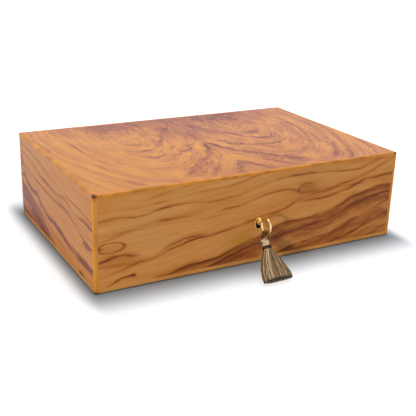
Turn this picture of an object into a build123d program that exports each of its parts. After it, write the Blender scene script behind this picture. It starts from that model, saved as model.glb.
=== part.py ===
from build123d import *

import os
from math import cos, pi, radians, sin, sqrt

# Desktop humidor: a veneered box with a hinged lid, cedar lining, lifting tray,
# mortised box lock with its key and tassel, hygrometer and humidifier in the lid.
# Origin: centre of the underside of the base. X to the right, Y to the back, Z up.
# All sizes in millimetres.

os.makedirs("parts", exist_ok=True)


def save(piece, name):
    """Label a finished piece and write it."""
    piece.part.label = name
    export_step(piece.part, f"parts/{name}.step")


# Box, overall
LENGTH = 360.0
DEPTH = 240.0
HEIGHT = 100.0
RIM_HEIGHT = 60.0
SEAM_GAP = 0.2
WALL = 15.0
EDGING = 4.0
TOP_EDGING_HEIGHT = 3.0
ARRIS = 0.9
BASE_BOARD = 9.0
TOP_BOARD = 12.0
FELT_THICK = 1.5
FELT_INSET = 2.0
FIT = 0.1

# Cedar lining
LINING = 5.0
LINING_FLOOR = 4.0
LIP_HEIGHT = 8.0
LIP_CLEARANCE = 0.4
STRIP_CLEARANCE = 0.6
LID_PANEL = 4.0
LEDGE = 6.0
LEDGE_TOP = 37.8
DIVIDER_FLOAT = 0.2

# Tray
TRAY_LENGTH = 205.5
TRAY_HEIGHT = 24.0
TRAY_WALL = 5.0
TRAY_SIDE_CLEARANCE = 0.5
TRAY_FLOAT = 0.2
TRAY_REBATE = 2.5
SLAT_THICK = 3.0
SLAT_WIDTH = 14.0
SLAT_COUNT = 9
NOTCH_WIDTH = 36.0
NOTCH_DEPTH = 9.0
NOTCH_RADIUS = 6.0
TRAY_DIVIDER = 4.0
TRAY_DIVIDER_HEIGHT = 17.0
LOWER_DIVIDER = 5.0
LOWER_DIVIDER_CLEARANCE = 0.3

# Hinges
HINGE_INSET = 50.0
HINGE_LENGTH = 40.0
LEAF_THICK = 2.0
LEAF_REACH = 12.0
BARREL_RADIUS = 2.6
BARREL_SETBACK = 2.0
PIN_RADIUS = 1.3
PIN_CLEARANCE = 0.05
BARREL_CLEARANCE = 0.3
KNUCKLES = 5
KNUCKLE_GAP = 0.2
HINGE_SCREW_MARGIN = 7.0

# Wood screws
SCREW_RADIUS = 1.2
SCREW_HEAD_RADIUS = 2.5
SCREW_LENGTH = 10.0
SCREW_SLOT = 0.7
PILOT_CLEARANCE = 0.05

# Lock
LOCK_LENGTH = 40.0
LOCK_THICK = 9.0
LOCK_DEPTH = 24.5
LOCK_SHEET = 1.2
LOCK_PLATE_WIDTH = 11.0
LOCK_PLATE_THICK = 1.5
LOCK_SETBACK = 3.5
LOCK_SCREW_SPACING = 48.0
LOCK_SCREW_MARGIN = 4.0
KEY_DROP = 14.0
BARREL_PLUG_RADIUS = 3.5
PLUG_CLEARANCE = 0.06
PLUG_RECESS = 1.8
PIVOT_RADIUS = 2.0
STAPLE_X = (-11.0, 9.0)
STAPLE_THICK = 1.5
STAPLE_WIDTH = 5.5
STAPLE_DROP = 8.2
STAPLE_EYE_WIDTH = 3.2
STAPLE_EYE_HEIGHT = 4.2
STAPLE_EYE_SILL = 1.4
STAPLE_CLEARANCE = 0.5
BOLT_THICK = 2.5
BOLT_BAR = 1.7
BOLT_TRAVEL = 4.0
BOLT_PRONG = 3.0
BOLT_POST = 3.0
BOLT_GAP = 0.25
BOLT_LIFT = 0.1
BOLT_LEG_X = -5.7
BOLT_LEG_WIDTH = 3.0
BOLT_LEG_DROP = 5.4
RAIL_HEIGHT = 1.5

# Key and escutcheon
SHANK_RADIUS = 1.6
SHANK_CLEARANCE = 0.06
BIT_REACH = 6.0
BIT_THICK = 1.6
BIT_LENGTH = 4.0
BIT_CUT = 0.8
BIT_DEPTH = 10.5
BIT_SLOT_CLEARANCE = 0.1
KEY_COLLAR_RADIUS = 2.6
KEY_COLLAR_LENGTH = 1.7
KEY_COLLAR_ROUND = 0.4
BOW_RADIUS = 8.3
BOW_BAR_RADIUS = 1.2
BOW_CENTRE = 14.5
KEYHOLE_RADIUS = 2.2
KEYHOLE_WIDTH = 2.4
KEYHOLE_CLEARANCE = 0.4
ESCUTCHEON_WIDTH = 10.0
ESCUTCHEON_HEIGHT = 13.0
ESCUTCHEON_THICK = 1.0
ESCUTCHEON_RIM = 0.9
ESCUTCHEON_DISH = 0.35
ESCUTCHEON_ROUND = 0.4
ESCUTCHEON_DROP = 1.9
LINER_WALL = 0.6
LINER_DEPTH = 1.6

# Tassel
CORD_RADIUS = 0.8
CORD_PITCH = 2.3
CORD_TURN_RADIUS = 2.6
CORD_HALF_TURNS = 3
CORD_AXIS_RISE = 0.1
CORD_LEG = 5.3
CORD_HEAD_GAP = 0.3
HEAD_RADIUS = 4.2
TASSEL_LEAN = 38.0
BINDING_RADIUS = 0.6
BINDING_PITCH = 1.65
BINDING_HALF_TURNS = 4
BINDING_START = 4.7
BINDING_CLEARANCE = 0.3
NECK_RADIUS = 2.9
NECK_LENGTH = 9.0
SKIRT_END = (-5.0, -170.0, 3.55)
SKIRT_END_LEAN = 60.0
SKIRT_END_DRIFT = 8.0
SKIRT_START_HALF = 3.9
SKIRT_END_HALF = 17.0
SKIRT_END_THICK = 3.8
SKIRT_FLUTES = 14
SKIRT_FLUTE_DEPTH = 0.09
SKIRT_STATIONS = (0.0, 0.3, 0.65, 1.0)
SKIRT_FLARE = 1.7
TAIL_RADIUS = 0.7
TAIL_END = (-7.6, -137.2, 28.6)
KNOT_RADIUS = 1.9

# Hygrometer in the lid
HYGRO_INSET = 75.0
HYGRO_RADIUS = 21.0
HYGRO_DEPTH = 8.0
HYGRO_SHEET = 0.8
BEZEL_RADIUS = 24.5
BEZEL_THICK = 2.5
BEZEL_LIP = 2.0
BEZEL_ROUND = 1.5
GLASS_THICK = 1.2
DIAL_THICK = 0.5
DIAL_SETBACK = 1.6
NEEDLE_LENGTH = 14.0
NEEDLE_TAIL = 5.0
NEEDLE_WIDTH = 1.4
NEEDLE_TIP = 0.5
NEEDLE_THICK = 0.4
ARBOR_RADIUS = 0.6
PIVOT_BOSS_RADIUS = 1.8
NEEDLE_CLEARANCE = 0.5
RUN_CLEARANCE = 0.08

# Humidifier in the lid
HUMID_INSET = 90.0
HUMID_LENGTH = 110.0
HUMID_WIDTH = 60.0
HUMID_PLATE = 0.8
HUMID_PLATE_LENGTH = 90.0
HUMID_PLATE_WIDTH = 24.0
HUMID_CORNER = 6.0
HUMID_GAP = 0.2
TUB_HEIGHT = 9.9
TUB_WALL = 1.6
TUB_TOP = 3.2
GRILLE_THICK = 1.5
GRILLE_ROUND = 0.75
GRILLE_SLOTS = 13
GRILLE_SLOT_WIDTH = 2.4
GRILLE_SLOT_PITCH = 7.2
GRILLE_SLOT_LENGTH = 44.0
GRILLE_LIP = 1.2
FOAM_CLEARANCE = 0.3
MAGNET_RADIUS = 5.0
MAGNET_THICK = 2.0
MAGNET_SPACING = 34.0

# How finely a wound tube is measured: steps in each length of its radius
MEASURE_STEPS = 4

# Places worked out from the sizes above
HALF_L = LENGTH / 2
HALF_D = DEPTH / 2
IN_X = HALF_L - WALL
IN_Y = HALF_D - WALL
EDGE_X = HALF_L - EDGING
EDGE_Y = HALF_D - EDGING
ROOM_X = IN_X - LINING
ROOM_Y = IN_Y - LINING
BASE_TOP = FELT_THICK + BASE_BOARD
FLOOR_TOP = BASE_TOP + LINING_FLOOR
LIP_TOP = RIM_HEIGHT + LIP_HEIGHT
LID_BOTTOM = RIM_HEIGHT + SEAM_GAP
TOP_UNDERSIDE = HEIGHT - TOP_BOARD
PANEL_UNDERSIDE = TOP_UNDERSIDE - LID_PANEL
EDGING_UNDERSIDE = HEIGHT - TOP_EDGING_HEIGHT

HINGE_Y = HALF_D + BARREL_SETBACK
HINGE_Z = RIM_HEIGHT + SEAM_GAP / 2
LEAF_FRONT = HALF_D - LEAF_REACH
LEAF_BACK = HINGE_Y - BARREL_RADIUS - BARREL_CLEARANCE
HINGE_SCREW_Y = (LEAF_FRONT + LEAF_BACK) / 2
HINGE_X = HALF_L - HINGE_INSET - HINGE_LENGTH / 2
SCREW_SPACING = HINGE_LENGTH / 2 - HINGE_SCREW_MARGIN
LOCK_PLATE_LENGTH = LOCK_SCREW_SPACING + 2 * LOCK_SCREW_MARGIN
HINGE_PLACES = (("left", -HINGE_X), ("right", HINGE_X))
HYGRO_X = -ROOM_X + HYGRO_INSET
HUMID_X = ROOM_X - HUMID_INSET

LOCK_FRONT = -HALF_D + LOCK_SETBACK
LOCK_BACK = LOCK_FRONT + LOCK_THICK
LOCK_Y = (LOCK_FRONT + LOCK_BACK) / 2
LOCK_TOP = RIM_HEIGHT - LOCK_PLATE_THICK
LOCK_BOTTOM = LOCK_TOP - LOCK_DEPTH
CAP_FRONT = LOCK_BACK - LOCK_SHEET
KEY_HEIGHT = RIM_HEIGHT - KEY_DROP
KEYHOLE_BOTTOM = KEY_HEIGHT - BIT_REACH - KEYHOLE_CLEARANCE
PLUG_FRONT = -HALF_D + PLUG_RECESS
BIT_BACK = -HALF_D + BIT_DEPTH
ESCUTCHEON_Z = KEY_HEIGHT - ESCUTCHEON_DROP

BOW_Y = -HALF_D - BOW_CENTRE
CORD_Z = KEY_HEIGHT - BOW_RADIUS + CORD_AXIS_RISE
HALF_LEG_Y = CORD_PITCH * CORD_HALF_TURNS / 4
LEG_OFFSET = sqrt((CORD_TURN_RADIUS - CORD_RADIUS) ** 2 + max(HALF_LEG_Y - CORD_RADIUS, 0.0) ** 2)
HEAD_Z = CORD_Z - CORD_LEG - CORD_HEAD_GAP - sqrt(HEAD_RADIUS**2 - LEG_OFFSET**2)


def board(plan, bottom, top):
    """Extrude a closed outline in plan between two heights."""
    with BuildSketch(Plane.XY.offset(bottom)) as outline:
        with BuildLine():
            Polyline(*plan, close=True)
        make_face()
    extrude(outline.sketch, amount=top - bottom)


def block(x_range, y_range, z_range, mode=Mode.ADD):
    """A block between two corners."""
    centre = [(low + high) / 2 for low, high in (x_range, y_range, z_range)]
    size = [high - low for low, high in (x_range, y_range, z_range)]
    with Locations(tuple(centre)):
        Box(*size, mode=mode)


def span(centre, width):
    """The range of a given width about a centre."""
    return (centre - width / 2, centre + width / 2)


def long_wall_plan(side):
    """Mitred wall along X with its notch for the corner posts: side -1 front, +1 back."""
    half = [(EDGE_X, HALF_D), (EDGE_X, EDGE_Y), (IN_X, IN_Y)]
    mirrored = [(-x, y) for x, y in reversed(half)]
    return [(x, side * y) for x, y in half + mirrored]


def short_wall_plan(side):
    """Mitred wall along Y: side -1 left, +1 right."""
    half = [(HALF_L, EDGE_Y), (EDGE_X, EDGE_Y), (IN_X, IN_Y)]
    mirrored = [(x, -y) for x, y in reversed(half)]
    return [(side * x, y) for x, y in half + mirrored]


def foot_rebate(long_side, side):
    """Cut the strip at the foot of a wall that the foot edging fills."""
    foot = (FELT_THICK, FELT_THICK + EDGING)
    if long_side:
        edge = sorted((side * EDGE_Y, side * HALF_D))
        block((-EDGE_X, EDGE_X), edge, foot, mode=Mode.SUBTRACT)
    else:
        edge = sorted((side * EDGE_X, side * HALF_L))
        block(edge, (-EDGE_Y, EDGE_Y), foot, mode=Mode.SUBTRACT)


def top_skin(long_side, side):
    """The thin upper part of a lid wall, which stands outside the top board."""
    heights = (TOP_UNDERSIDE, EDGING_UNDERSIDE)
    if long_side:
        block((-EDGE_X, EDGE_X), sorted((side * EDGE_Y, side * HALF_D)), heights)
    else:
        block(sorted((side * EDGE_X, side * HALF_L)), (-EDGE_Y, EDGE_Y), heights)


def turned_screw(x, y, head_z, up, clearance, mode):
    """A countersunk wood screw, head face at one height, point down or up (up = -1)."""
    radius = SCREW_RADIUS + clearance
    head_radius = SCREW_HEAD_RADIUS + clearance
    tip = SCREW_LENGTH + clearance
    cone = head_radius - radius
    shank_end = tip - 2 * radius
    with BuildSketch(Plane(origin=(x, y, head_z), x_dir=(1, 0, 0), z_dir=(0, -up, 0))) as section:
        with BuildLine():
            Polyline((0, 0), (head_radius, 0), (radius, -cone), (radius, -shank_end), (0, -tip), close=True)
        make_face()
    revolve(section.sketch, axis=Axis((x, y, head_z), (0, 0, 1)), mode=mode)


def screws(places, head_z, up):
    """Screws with straight slots, heads flush at one height."""
    for x, y in places:
        turned_screw(x, y, head_z, up, 0.0, Mode.ADD)
        slot_x = span(x, 2 * SCREW_HEAD_RADIUS)
        block(slot_x, span(y, SCREW_SLOT), span(head_z, SCREW_SLOT), mode=Mode.SUBTRACT)


def screw_holes(places, head_z, up):
    """Countersunk pilot holes for the screws."""
    for x, y in places:
        turned_screw(x, y, head_z, up, PILOT_CLEARANCE, Mode.SUBTRACT)


def rod_x(centre_x, length, y, z, radius, mode=Mode.ADD):
    """A round bar along X."""
    with BuildSketch(Plane.YZ.offset(centre_x - length / 2)) as section:
        with Locations((y, z)):
            Circle(radius)
    extrude(section.sketch, amount=length, mode=mode)


def hinge_screw_places(hinge_x):
    """Three screws in one hinge leaf."""
    return [(hinge_x + step * SCREW_SPACING, HINGE_SCREW_Y) for step in (-1, 0, 1)]


ALL_HINGE_SCREWS = [place for _, x in HINGE_PLACES for place in hinge_screw_places(x)]
LOCK_SCREWS = [(side * LOCK_SCREW_SPACING / 2, LOCK_Y) for side in (-1, 1)]


def hinge_seats(leaf_range):
    """Seats for both hinge leaves and the relief for their barrels in a back wall."""
    for _, x in HINGE_PLACES:
        seat_x = span(x, HINGE_LENGTH + 2 * FIT)
        block(seat_x, (LEAF_FRONT - FIT, HALF_D), leaf_range, mode=Mode.SUBTRACT)
        relief = BARREL_RADIUS + BARREL_CLEARANCE
        rod_x(x, HINGE_LENGTH + 2 * FIT, HINGE_Y, HINGE_Z, relief, mode=Mode.SUBTRACT)


def keyhole(radius, width, bottom, depth_plane, depth, mode):
    """A keyhole opening cut or filled towards the front from a plane of constant Y."""
    slot_end = bottom + width / 2
    with BuildSketch(Plane.XZ.offset(-depth_plane)) as opening:
        with Locations((0, KEY_HEIGHT)):
            Circle(radius)
        with Locations((0, (KEY_HEIGHT + slot_end) / 2)):
            Rectangle(width, KEY_HEIGHT - slot_end)
        with Locations((0, slot_end)):
            Circle(width / 2)
    extrude(opening.sketch, amount=depth, mode=mode)


# Case walls
with BuildPart() as case_front:
    board(long_wall_plan(-1), FELT_THICK, RIM_HEIGHT)
    foot_rebate(True, -1)
    block(
        span(0, LOCK_PLATE_LENGTH + 2 * FIT),
        span(LOCK_Y, LOCK_PLATE_WIDTH + 2 * FIT),
        (LOCK_TOP, RIM_HEIGHT),
        mode=Mode.SUBTRACT,
    )
    block(
        span(0, LOCK_LENGTH + 2 * FIT),
        (LOCK_FRONT - FIT, LOCK_BACK + FIT),
        (LOCK_BOTTOM - FIT, RIM_HEIGHT),
        mode=Mode.SUBTRACT,
    )
    liner_back = -HALF_D + LINER_DEPTH + FIT
    liner_edge = LINER_WALL + FIT
    keyhole(
        KEYHOLE_RADIUS + liner_edge,
        KEYHOLE_WIDTH + 2 * liner_edge,
        KEYHOLE_BOTTOM - liner_edge,
        liner_back,
        LINER_DEPTH + FIT,
        Mode.SUBTRACT,
    )
    keyhole(
        BARREL_PLUG_RADIUS + BARREL_CLEARANCE,
        KEYHOLE_WIDTH,
        KEYHOLE_BOTTOM,
        LOCK_FRONT,
        LOCK_FRONT - liner_back,
        Mode.SUBTRACT,
    )
    screw_holes(LOCK_SCREWS, RIM_HEIGHT, 1)
save(case_front, "case_front")

with BuildPart() as case_back:
    board(long_wall_plan(1), FELT_THICK, RIM_HEIGHT)
    foot_rebate(True, 1)
    hinge_seats((RIM_HEIGHT - LEAF_THICK, RIM_HEIGHT))
    screw_holes(ALL_HINGE_SCREWS, RIM_HEIGHT, 1)
save(case_back, "case_back")

for side, name in ((-1, "case_left"), (1, "case_right")):
    with BuildPart() as case_side:
        board(short_wall_plan(side), FELT_THICK, RIM_HEIGHT)
        foot_rebate(False, side)
    save(case_side, name)

with BuildPart() as case_base:
    block((-IN_X, IN_X), (-IN_Y, IN_Y), (FELT_THICK, BASE_TOP))
save(case_base, "case_base")

with BuildPart() as base_felt:
    with BuildSketch():
        RectangleRounded(LENGTH - 2 * FELT_INSET, DEPTH - 2 * FELT_INSET, FELT_INSET)
    extrude(amount=FELT_THICK)
save(base_felt, "base_felt")


# Solid edging: four posts with a rounded outer arris, and strips between them
def corner_posts(bottom, top, rounded_top):
    """Four square posts in the corners, with their outer arrises rounded."""
    for x_side in (-1, 1):
        for y_side in (-1, 1):
            post_x = sorted((x_side * EDGE_X, x_side * HALF_L))
            post_y = sorted((y_side * EDGE_Y, y_side * HALF_D))
            block(post_x, post_y, (bottom, top))
    uprights = edges().filter_by(Axis.Z)
    outer = [e for e in uprights if abs(e.center().X) > EDGE_X + FIT and abs(e.center().Y) > EDGE_Y + FIT]
    fillet(outer, ARRIS)
    if rounded_top:
        caps = edges().group_by(Axis.Z)[-1]
        rounded = [
            e
            for e in caps
            if abs(e.center().X) > HALF_L - ARRIS - FIT or abs(e.center().Y) > HALF_D - ARRIS - FIT
        ]
        fillet(rounded, ARRIS)


def edging_strips(bottom, top):
    """Four strips between the corner posts, at one height."""
    for side in (-1, 1):
        block((-EDGE_X, EDGE_X), sorted((side * EDGE_Y, side * HALF_D)), (bottom, top))
        block(sorted((side * EDGE_X, side * HALF_L)), (-EDGE_Y, EDGE_Y), (bottom, top))


with BuildPart() as case_corner_edging:
    corner_posts(FELT_THICK, RIM_HEIGHT, False)
save(case_corner_edging, "case_corner_edging")

with BuildPart() as case_foot_edging:
    edging_strips(FELT_THICK, FELT_THICK + EDGING)
save(case_foot_edging, "case_foot_edging")

with BuildPart() as lid_corner_edging:
    corner_posts(LID_BOTTOM, HEIGHT, True)
save(lid_corner_edging, "lid_corner_edging")

with BuildPart() as lid_top_edging:
    edging_strips(EDGING_UNDERSIDE, HEIGHT)
    top_edges = edges().group_by(Axis.Z)[-1]
    outer_long = [e for e in top_edges if abs(e.center().Y) > HALF_D - FIT]
    outer_short = [e for e in top_edges if abs(e.center().X) > HALF_L - FIT]
    fillet(outer_long + outer_short, ARRIS)
save(lid_top_edging, "lid_top_edging")


# Cedar lining: the upper part steps in by the lip clearance and seals the lid
def lining_board(start, inner, outer, run):
    """A lining board: in its section x is out from the room and y is up."""
    with BuildSketch(start) as section:
        with BuildLine():
            Polyline(
                (inner, FLOOR_TOP),
                (outer, FLOOR_TOP),
                (outer, RIM_HEIGHT),
                (outer - LIP_CLEARANCE, RIM_HEIGHT),
                (outer - LIP_CLEARANCE, LIP_TOP - ARRIS),
                (outer - LIP_CLEARANCE - ARRIS, LIP_TOP),
                (inner, LIP_TOP),
                close=True,
            )
        make_face()
    extrude(section.sketch, amount=run)


with BuildPart() as cedar_floor:
    block((-IN_X, IN_X), (-IN_Y, IN_Y), (BASE_TOP, FLOOR_TOP))
save(cedar_floor, "cedar_floor")

for side, name in ((-1, "cedar_front"), (1, "cedar_back")):
    with BuildPart() as cedar_long:
        start = Plane(origin=(-side * IN_X, 0, 0), x_dir=(0, side, 0), z_dir=(side, 0, 0))
        lining_board(start, ROOM_Y, IN_Y, 2 * IN_X)
        for end in (-1, 1):
            step = sorted((end * (IN_X - LIP_CLEARANCE), end * IN_X))
            block(step, sorted((side * ROOM_Y, side * IN_Y)), (RIM_HEIGHT, LIP_TOP), mode=Mode.SUBTRACT)
    save(cedar_long, name)

for side, name in ((-1, "cedar_left"), (1, "cedar_right")):
    with BuildPart() as cedar_short:
        start = Plane(origin=(0, side * ROOM_Y, 0), x_dir=(side, 0, 0), z_dir=(0, -side, 0))
        lining_board(start, ROOM_X, IN_X, 2 * ROOM_Y)
    save(cedar_short, name)

with BuildPart() as tray_ledges:
    for side in (-1, 1):
        ledge_y = sorted((side * (ROOM_Y - LEDGE), side * ROOM_Y))
        block((-ROOM_X, ROOM_X), ledge_y, (LEDGE_TOP - LEDGE, LEDGE_TOP))
    ledge_tops = edges().filter_by(Axis.X).group_by(Axis.Z)[-1]
    chamfer([e for e in ledge_tops if abs(e.center().Y) < ROOM_Y - FIT], ARRIS)
save(tray_ledges, "tray_ledges")

# Lid walls and top board
with BuildPart() as lid_front:
    board(long_wall_plan(-1), LID_BOTTOM, TOP_UNDERSIDE)
    top_skin(True, -1)
    block(
        span(0, LOCK_PLATE_LENGTH + 2 * FIT),
        span(LOCK_Y, LOCK_PLATE_WIDTH + 2 * FIT),
        (LID_BOTTOM, LID_BOTTOM + LOCK_PLATE_THICK),
        mode=Mode.SUBTRACT,
    )
    screw_holes(LOCK_SCREWS, LID_BOTTOM, -1)
save(lid_front, "lid_front")

with BuildPart() as lid_back:
    board(long_wall_plan(1), LID_BOTTOM, TOP_UNDERSIDE)
    top_skin(True, 1)
    hinge_seats((LID_BOTTOM, LID_BOTTOM + LEAF_THICK))
    screw_holes(ALL_HINGE_SCREWS, LID_BOTTOM, -1)
save(lid_back, "lid_back")

for side, name in ((-1, "lid_left"), (1, "lid_right")):
    with BuildPart() as lid_side:
        board(short_wall_plan(side), LID_BOTTOM, TOP_UNDERSIDE)
        top_skin(False, side)
    save(lid_side, name)

HYGRO_TOP = PANEL_UNDERSIDE + HYGRO_DEPTH

with BuildPart() as lid_top:
    block((-EDGE_X, EDGE_X), (-EDGE_Y, EDGE_Y), (TOP_UNDERSIDE, HEIGHT))
    with BuildSketch(Plane.XY.offset(TOP_UNDERSIDE)):
        with Locations((HYGRO_X, 0)):
            Circle(HYGRO_RADIUS + FIT)
    extrude(amount=HYGRO_TOP - TOP_UNDERSIDE, mode=Mode.SUBTRACT)
save(lid_top, "lid_top")

with BuildPart() as cedar_lid_panel:
    block((-IN_X, IN_X), (-IN_Y, IN_Y), (PANEL_UNDERSIDE, TOP_UNDERSIDE))
    with BuildSketch(Plane.XY.offset(PANEL_UNDERSIDE)):
        with Locations((HYGRO_X, 0)):
            Circle(HYGRO_RADIUS + FIT)
    extrude(amount=LID_PANEL, mode=Mode.SUBTRACT)
save(cedar_lid_panel, "cedar_lid_panel")

with BuildPart() as cedar_lid_strips:
    strip_heights = (LIP_TOP + STRIP_CLEARANCE, PANEL_UNDERSIDE)
    for side in (-1, 1):
        block((-IN_X, IN_X), sorted((side * ROOM_Y, side * IN_Y)), strip_heights)
        block(sorted((side * ROOM_X, side * IN_X)), (-ROOM_Y + FIT, ROOM_Y - FIT), strip_heights)
save(cedar_lid_strips, "cedar_lid_strips")

# Hinges: five knuckles on one pin, three on the case leaf and two on the lid leaf
KNUCKLE_PITCH = (HINGE_LENGTH + KNUCKLE_GAP) / KNUCKLES


def hinge_leaf(hinge_x, leaf_range, first_knuckle, bore, head_z, up):
    """One leaf with every second knuckle, its bore and its countersunk holes."""
    block(span(hinge_x, HINGE_LENGTH), (LEAF_FRONT, LEAF_BACK), leaf_range)
    corners = edges().filter_by(Axis.Z).group_by(Axis.Y)[0]
    fillet(corners, ARRIS)
    for index in range(first_knuckle, KNUCKLES, 2):
        knuckle_x = hinge_x + (index - (KNUCKLES - 1) / 2) * KNUCKLE_PITCH
        width = KNUCKLE_PITCH - KNUCKLE_GAP
        block(span(knuckle_x, width), (LEAF_BACK - ARRIS, HINGE_Y), leaf_range)
        rod_x(knuckle_x, width, HINGE_Y, HINGE_Z, BARREL_RADIUS)
    rod_x(hinge_x, HINGE_LENGTH, HINGE_Y, HINGE_Z, bore, mode=Mode.SUBTRACT)
    screw_holes(hinge_screw_places(hinge_x), head_z, up)


for hinge_name, hinge_x in HINGE_PLACES:
    with BuildPart() as case_leaf:
        hinge_leaf(hinge_x, (RIM_HEIGHT - LEAF_THICK, RIM_HEIGHT), 0, PIN_RADIUS, RIM_HEIGHT, 1)
    save(case_leaf, f"{hinge_name}_hinge_case_leaf")
    with BuildPart() as lid_leaf:
        lid_bore = PIN_RADIUS + PIN_CLEARANCE
        hinge_leaf(hinge_x, (LID_BOTTOM, LID_BOTTOM + LEAF_THICK), 1, lid_bore, LID_BOTTOM, -1)
    save(lid_leaf, f"{hinge_name}_hinge_lid_leaf")

with BuildPart() as hinge_pins:
    for _, hinge_x in HINGE_PLACES:
        rod_x(hinge_x, HINGE_LENGTH, HINGE_Y, HINGE_Z, PIN_RADIUS)
save(hinge_pins, "hinge_pins")

with BuildPart() as hinge_case_screws:
    screws(ALL_HINGE_SCREWS, RIM_HEIGHT, 1)
save(hinge_case_screws, "hinge_case_screws")

with BuildPart() as hinge_lid_screws:
    screws(ALL_HINGE_SCREWS, LID_BOTTOM, -1)
save(hinge_lid_screws, "hinge_lid_screws")

# Box lock. The bolt slides on two rails and its prongs enter the eyes of the staples.
STAPLE_BOTTOM = LID_BOTTOM - STAPLE_DROP
EYE_BOTTOM = STAPLE_BOTTOM + STAPLE_EYE_SILL
PRONG_BOTTOM = EYE_BOTTOM + (STAPLE_EYE_HEIGHT - BOLT_PRONG) / 2
BAR_BOTTOM = KEY_HEIGHT + BARREL_PLUG_RADIUS + BARREL_CLEARANCE + BOLT_LIFT
BAR_TOP = BAR_BOTTOM + BOLT_BAR
LOCK_IN_X = LOCK_LENGTH / 2 - LOCK_SHEET

with BuildPart() as lock_body:
    lock_x = span(0, LOCK_LENGTH)
    block(lock_x, (LOCK_FRONT, CAP_FRONT), (LOCK_BOTTOM, LOCK_TOP))
    block(
        (-LOCK_IN_X, LOCK_IN_X),
        (LOCK_FRONT + LOCK_SHEET, CAP_FRONT),
        (LOCK_BOTTOM + LOCK_SHEET, LOCK_TOP),
        mode=Mode.SUBTRACT,
    )
    rail_z = (BAR_BOTTOM - BOLT_LIFT - RAIL_HEIGHT, BAR_BOTTOM - BOLT_LIFT)
    rail_y = (LOCK_FRONT + LOCK_SHEET, CAP_FRONT)
    leg_thrown = BOLT_LEG_X - BOLT_LEG_WIDTH / 2 - BOLT_TRAVEL
    block((-LOCK_IN_X, leg_thrown - STAPLE_CLEARANCE), rail_y, rail_z)
    block((BARREL_PLUG_RADIUS + STAPLE_CLEARANCE, LOCK_IN_X), rail_y, rail_z)
    plug_bore = BARREL_PLUG_RADIUS + PLUG_CLEARANCE
    front_face = LOCK_FRONT + LOCK_SHEET
    keyhole(plug_bore, KEYHOLE_WIDTH, KEYHOLE_BOTTOM, front_face, LOCK_SHEET, Mode.SUBTRACT)
save(lock_body, "lock_body")

with BuildPart() as lock_cap:
    block(span(0, LOCK_LENGTH), (CAP_FRONT, LOCK_BACK), (LOCK_BOTTOM, LOCK_TOP))
    with BuildSketch(Plane.XZ.offset(-LOCK_BACK)):
        with Locations((0, KEY_HEIGHT)):
            Circle(PIVOT_RADIUS + PLUG_CLEARANCE)
    extrude(amount=LOCK_SHEET, mode=Mode.SUBTRACT)
save(lock_cap, "lock_cap")

with BuildPart() as lock_plate:
    with BuildSketch(Plane.XY.offset(LOCK_TOP)):
        with Locations((0, LOCK_Y)):
            Rectangle(LOCK_PLATE_LENGTH, LOCK_PLATE_WIDTH)
        for x in STAPLE_X:
            with Locations((x, LOCK_Y)):
                Rectangle(
                    STAPLE_THICK + 2 * STAPLE_CLEARANCE,
                    STAPLE_WIDTH + 2 * STAPLE_CLEARANCE,
                    mode=Mode.SUBTRACT,
                )
    extrude(amount=LOCK_PLATE_THICK)
    screw_holes(LOCK_SCREWS, RIM_HEIGHT, 1)
save(lock_plate, "lock_plate")

with BuildPart() as lock_plate_screws:
    screws(LOCK_SCREWS, RIM_HEIGHT, 1)
save(lock_plate_screws, "lock_plate_screws")

with BuildPart() as link_plate:
    plate_z = (LID_BOTTOM, LID_BOTTOM + LOCK_PLATE_THICK)
    block(span(0, LOCK_PLATE_LENGTH), span(LOCK_Y, LOCK_PLATE_WIDTH), plate_z)
    screw_holes(LOCK_SCREWS, LID_BOTTOM, -1)
    for x in STAPLE_X:
        staple_side = Plane(origin=(x - STAPLE_THICK / 2, LOCK_Y, 0), x_dir=(0, 1, 0), z_dir=(1, 0, 0))
        with BuildSketch(staple_side):
            with Locations((0, (STAPLE_BOTTOM + LID_BOTTOM) / 2)):
                Rectangle(STAPLE_WIDTH, STAPLE_DROP)
            with Locations((0, EYE_BOTTOM + STAPLE_EYE_HEIGHT / 2)):
                Rectangle(STAPLE_EYE_WIDTH, STAPLE_EYE_HEIGHT, mode=Mode.SUBTRACT)
            lower = vertices().group_by(Axis.Z)[0]
            fillet(lower, ARRIS)
        extrude(amount=STAPLE_THICK)
save(link_plate, "link_plate")

with BuildPart() as link_plate_screws:
    screws(LOCK_SCREWS, LID_BOTTOM, -1)
save(link_plate_screws, "link_plate_screws")

with BuildPart() as lock_bolt:
    bolt_left = STAPLE_X[0] + STAPLE_THICK / 2 + BOLT_GAP
    bolt_y = span(LOCK_Y, BOLT_THICK)
    prong_z = (PRONG_BOTTOM, PRONG_BOTTOM + BOLT_PRONG)
    for x in STAPLE_X:
        prong_tip = x + STAPLE_THICK / 2 + BOLT_GAP
        post_x = (prong_tip + BOLT_TRAVEL, prong_tip + BOLT_TRAVEL + BOLT_POST)
        block((prong_tip, post_x[1]), bolt_y, prong_z)
        block(post_x, bolt_y, (BAR_TOP - BOLT_LIFT, prong_z[1]))
    bolt_right = STAPLE_X[1] + STAPLE_THICK / 2 + BOLT_GAP + BOLT_TRAVEL + BOLT_POST
    block((bolt_left, bolt_right), bolt_y, (BAR_BOTTOM, BAR_TOP))
    leg_z = (BAR_BOTTOM - BOLT_LEG_DROP, BAR_BOTTOM + BOLT_LIFT)
    block(span(BOLT_LEG_X, BOLT_LEG_WIDTH), bolt_y, leg_z)
save(lock_bolt, "lock_bolt")

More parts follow.
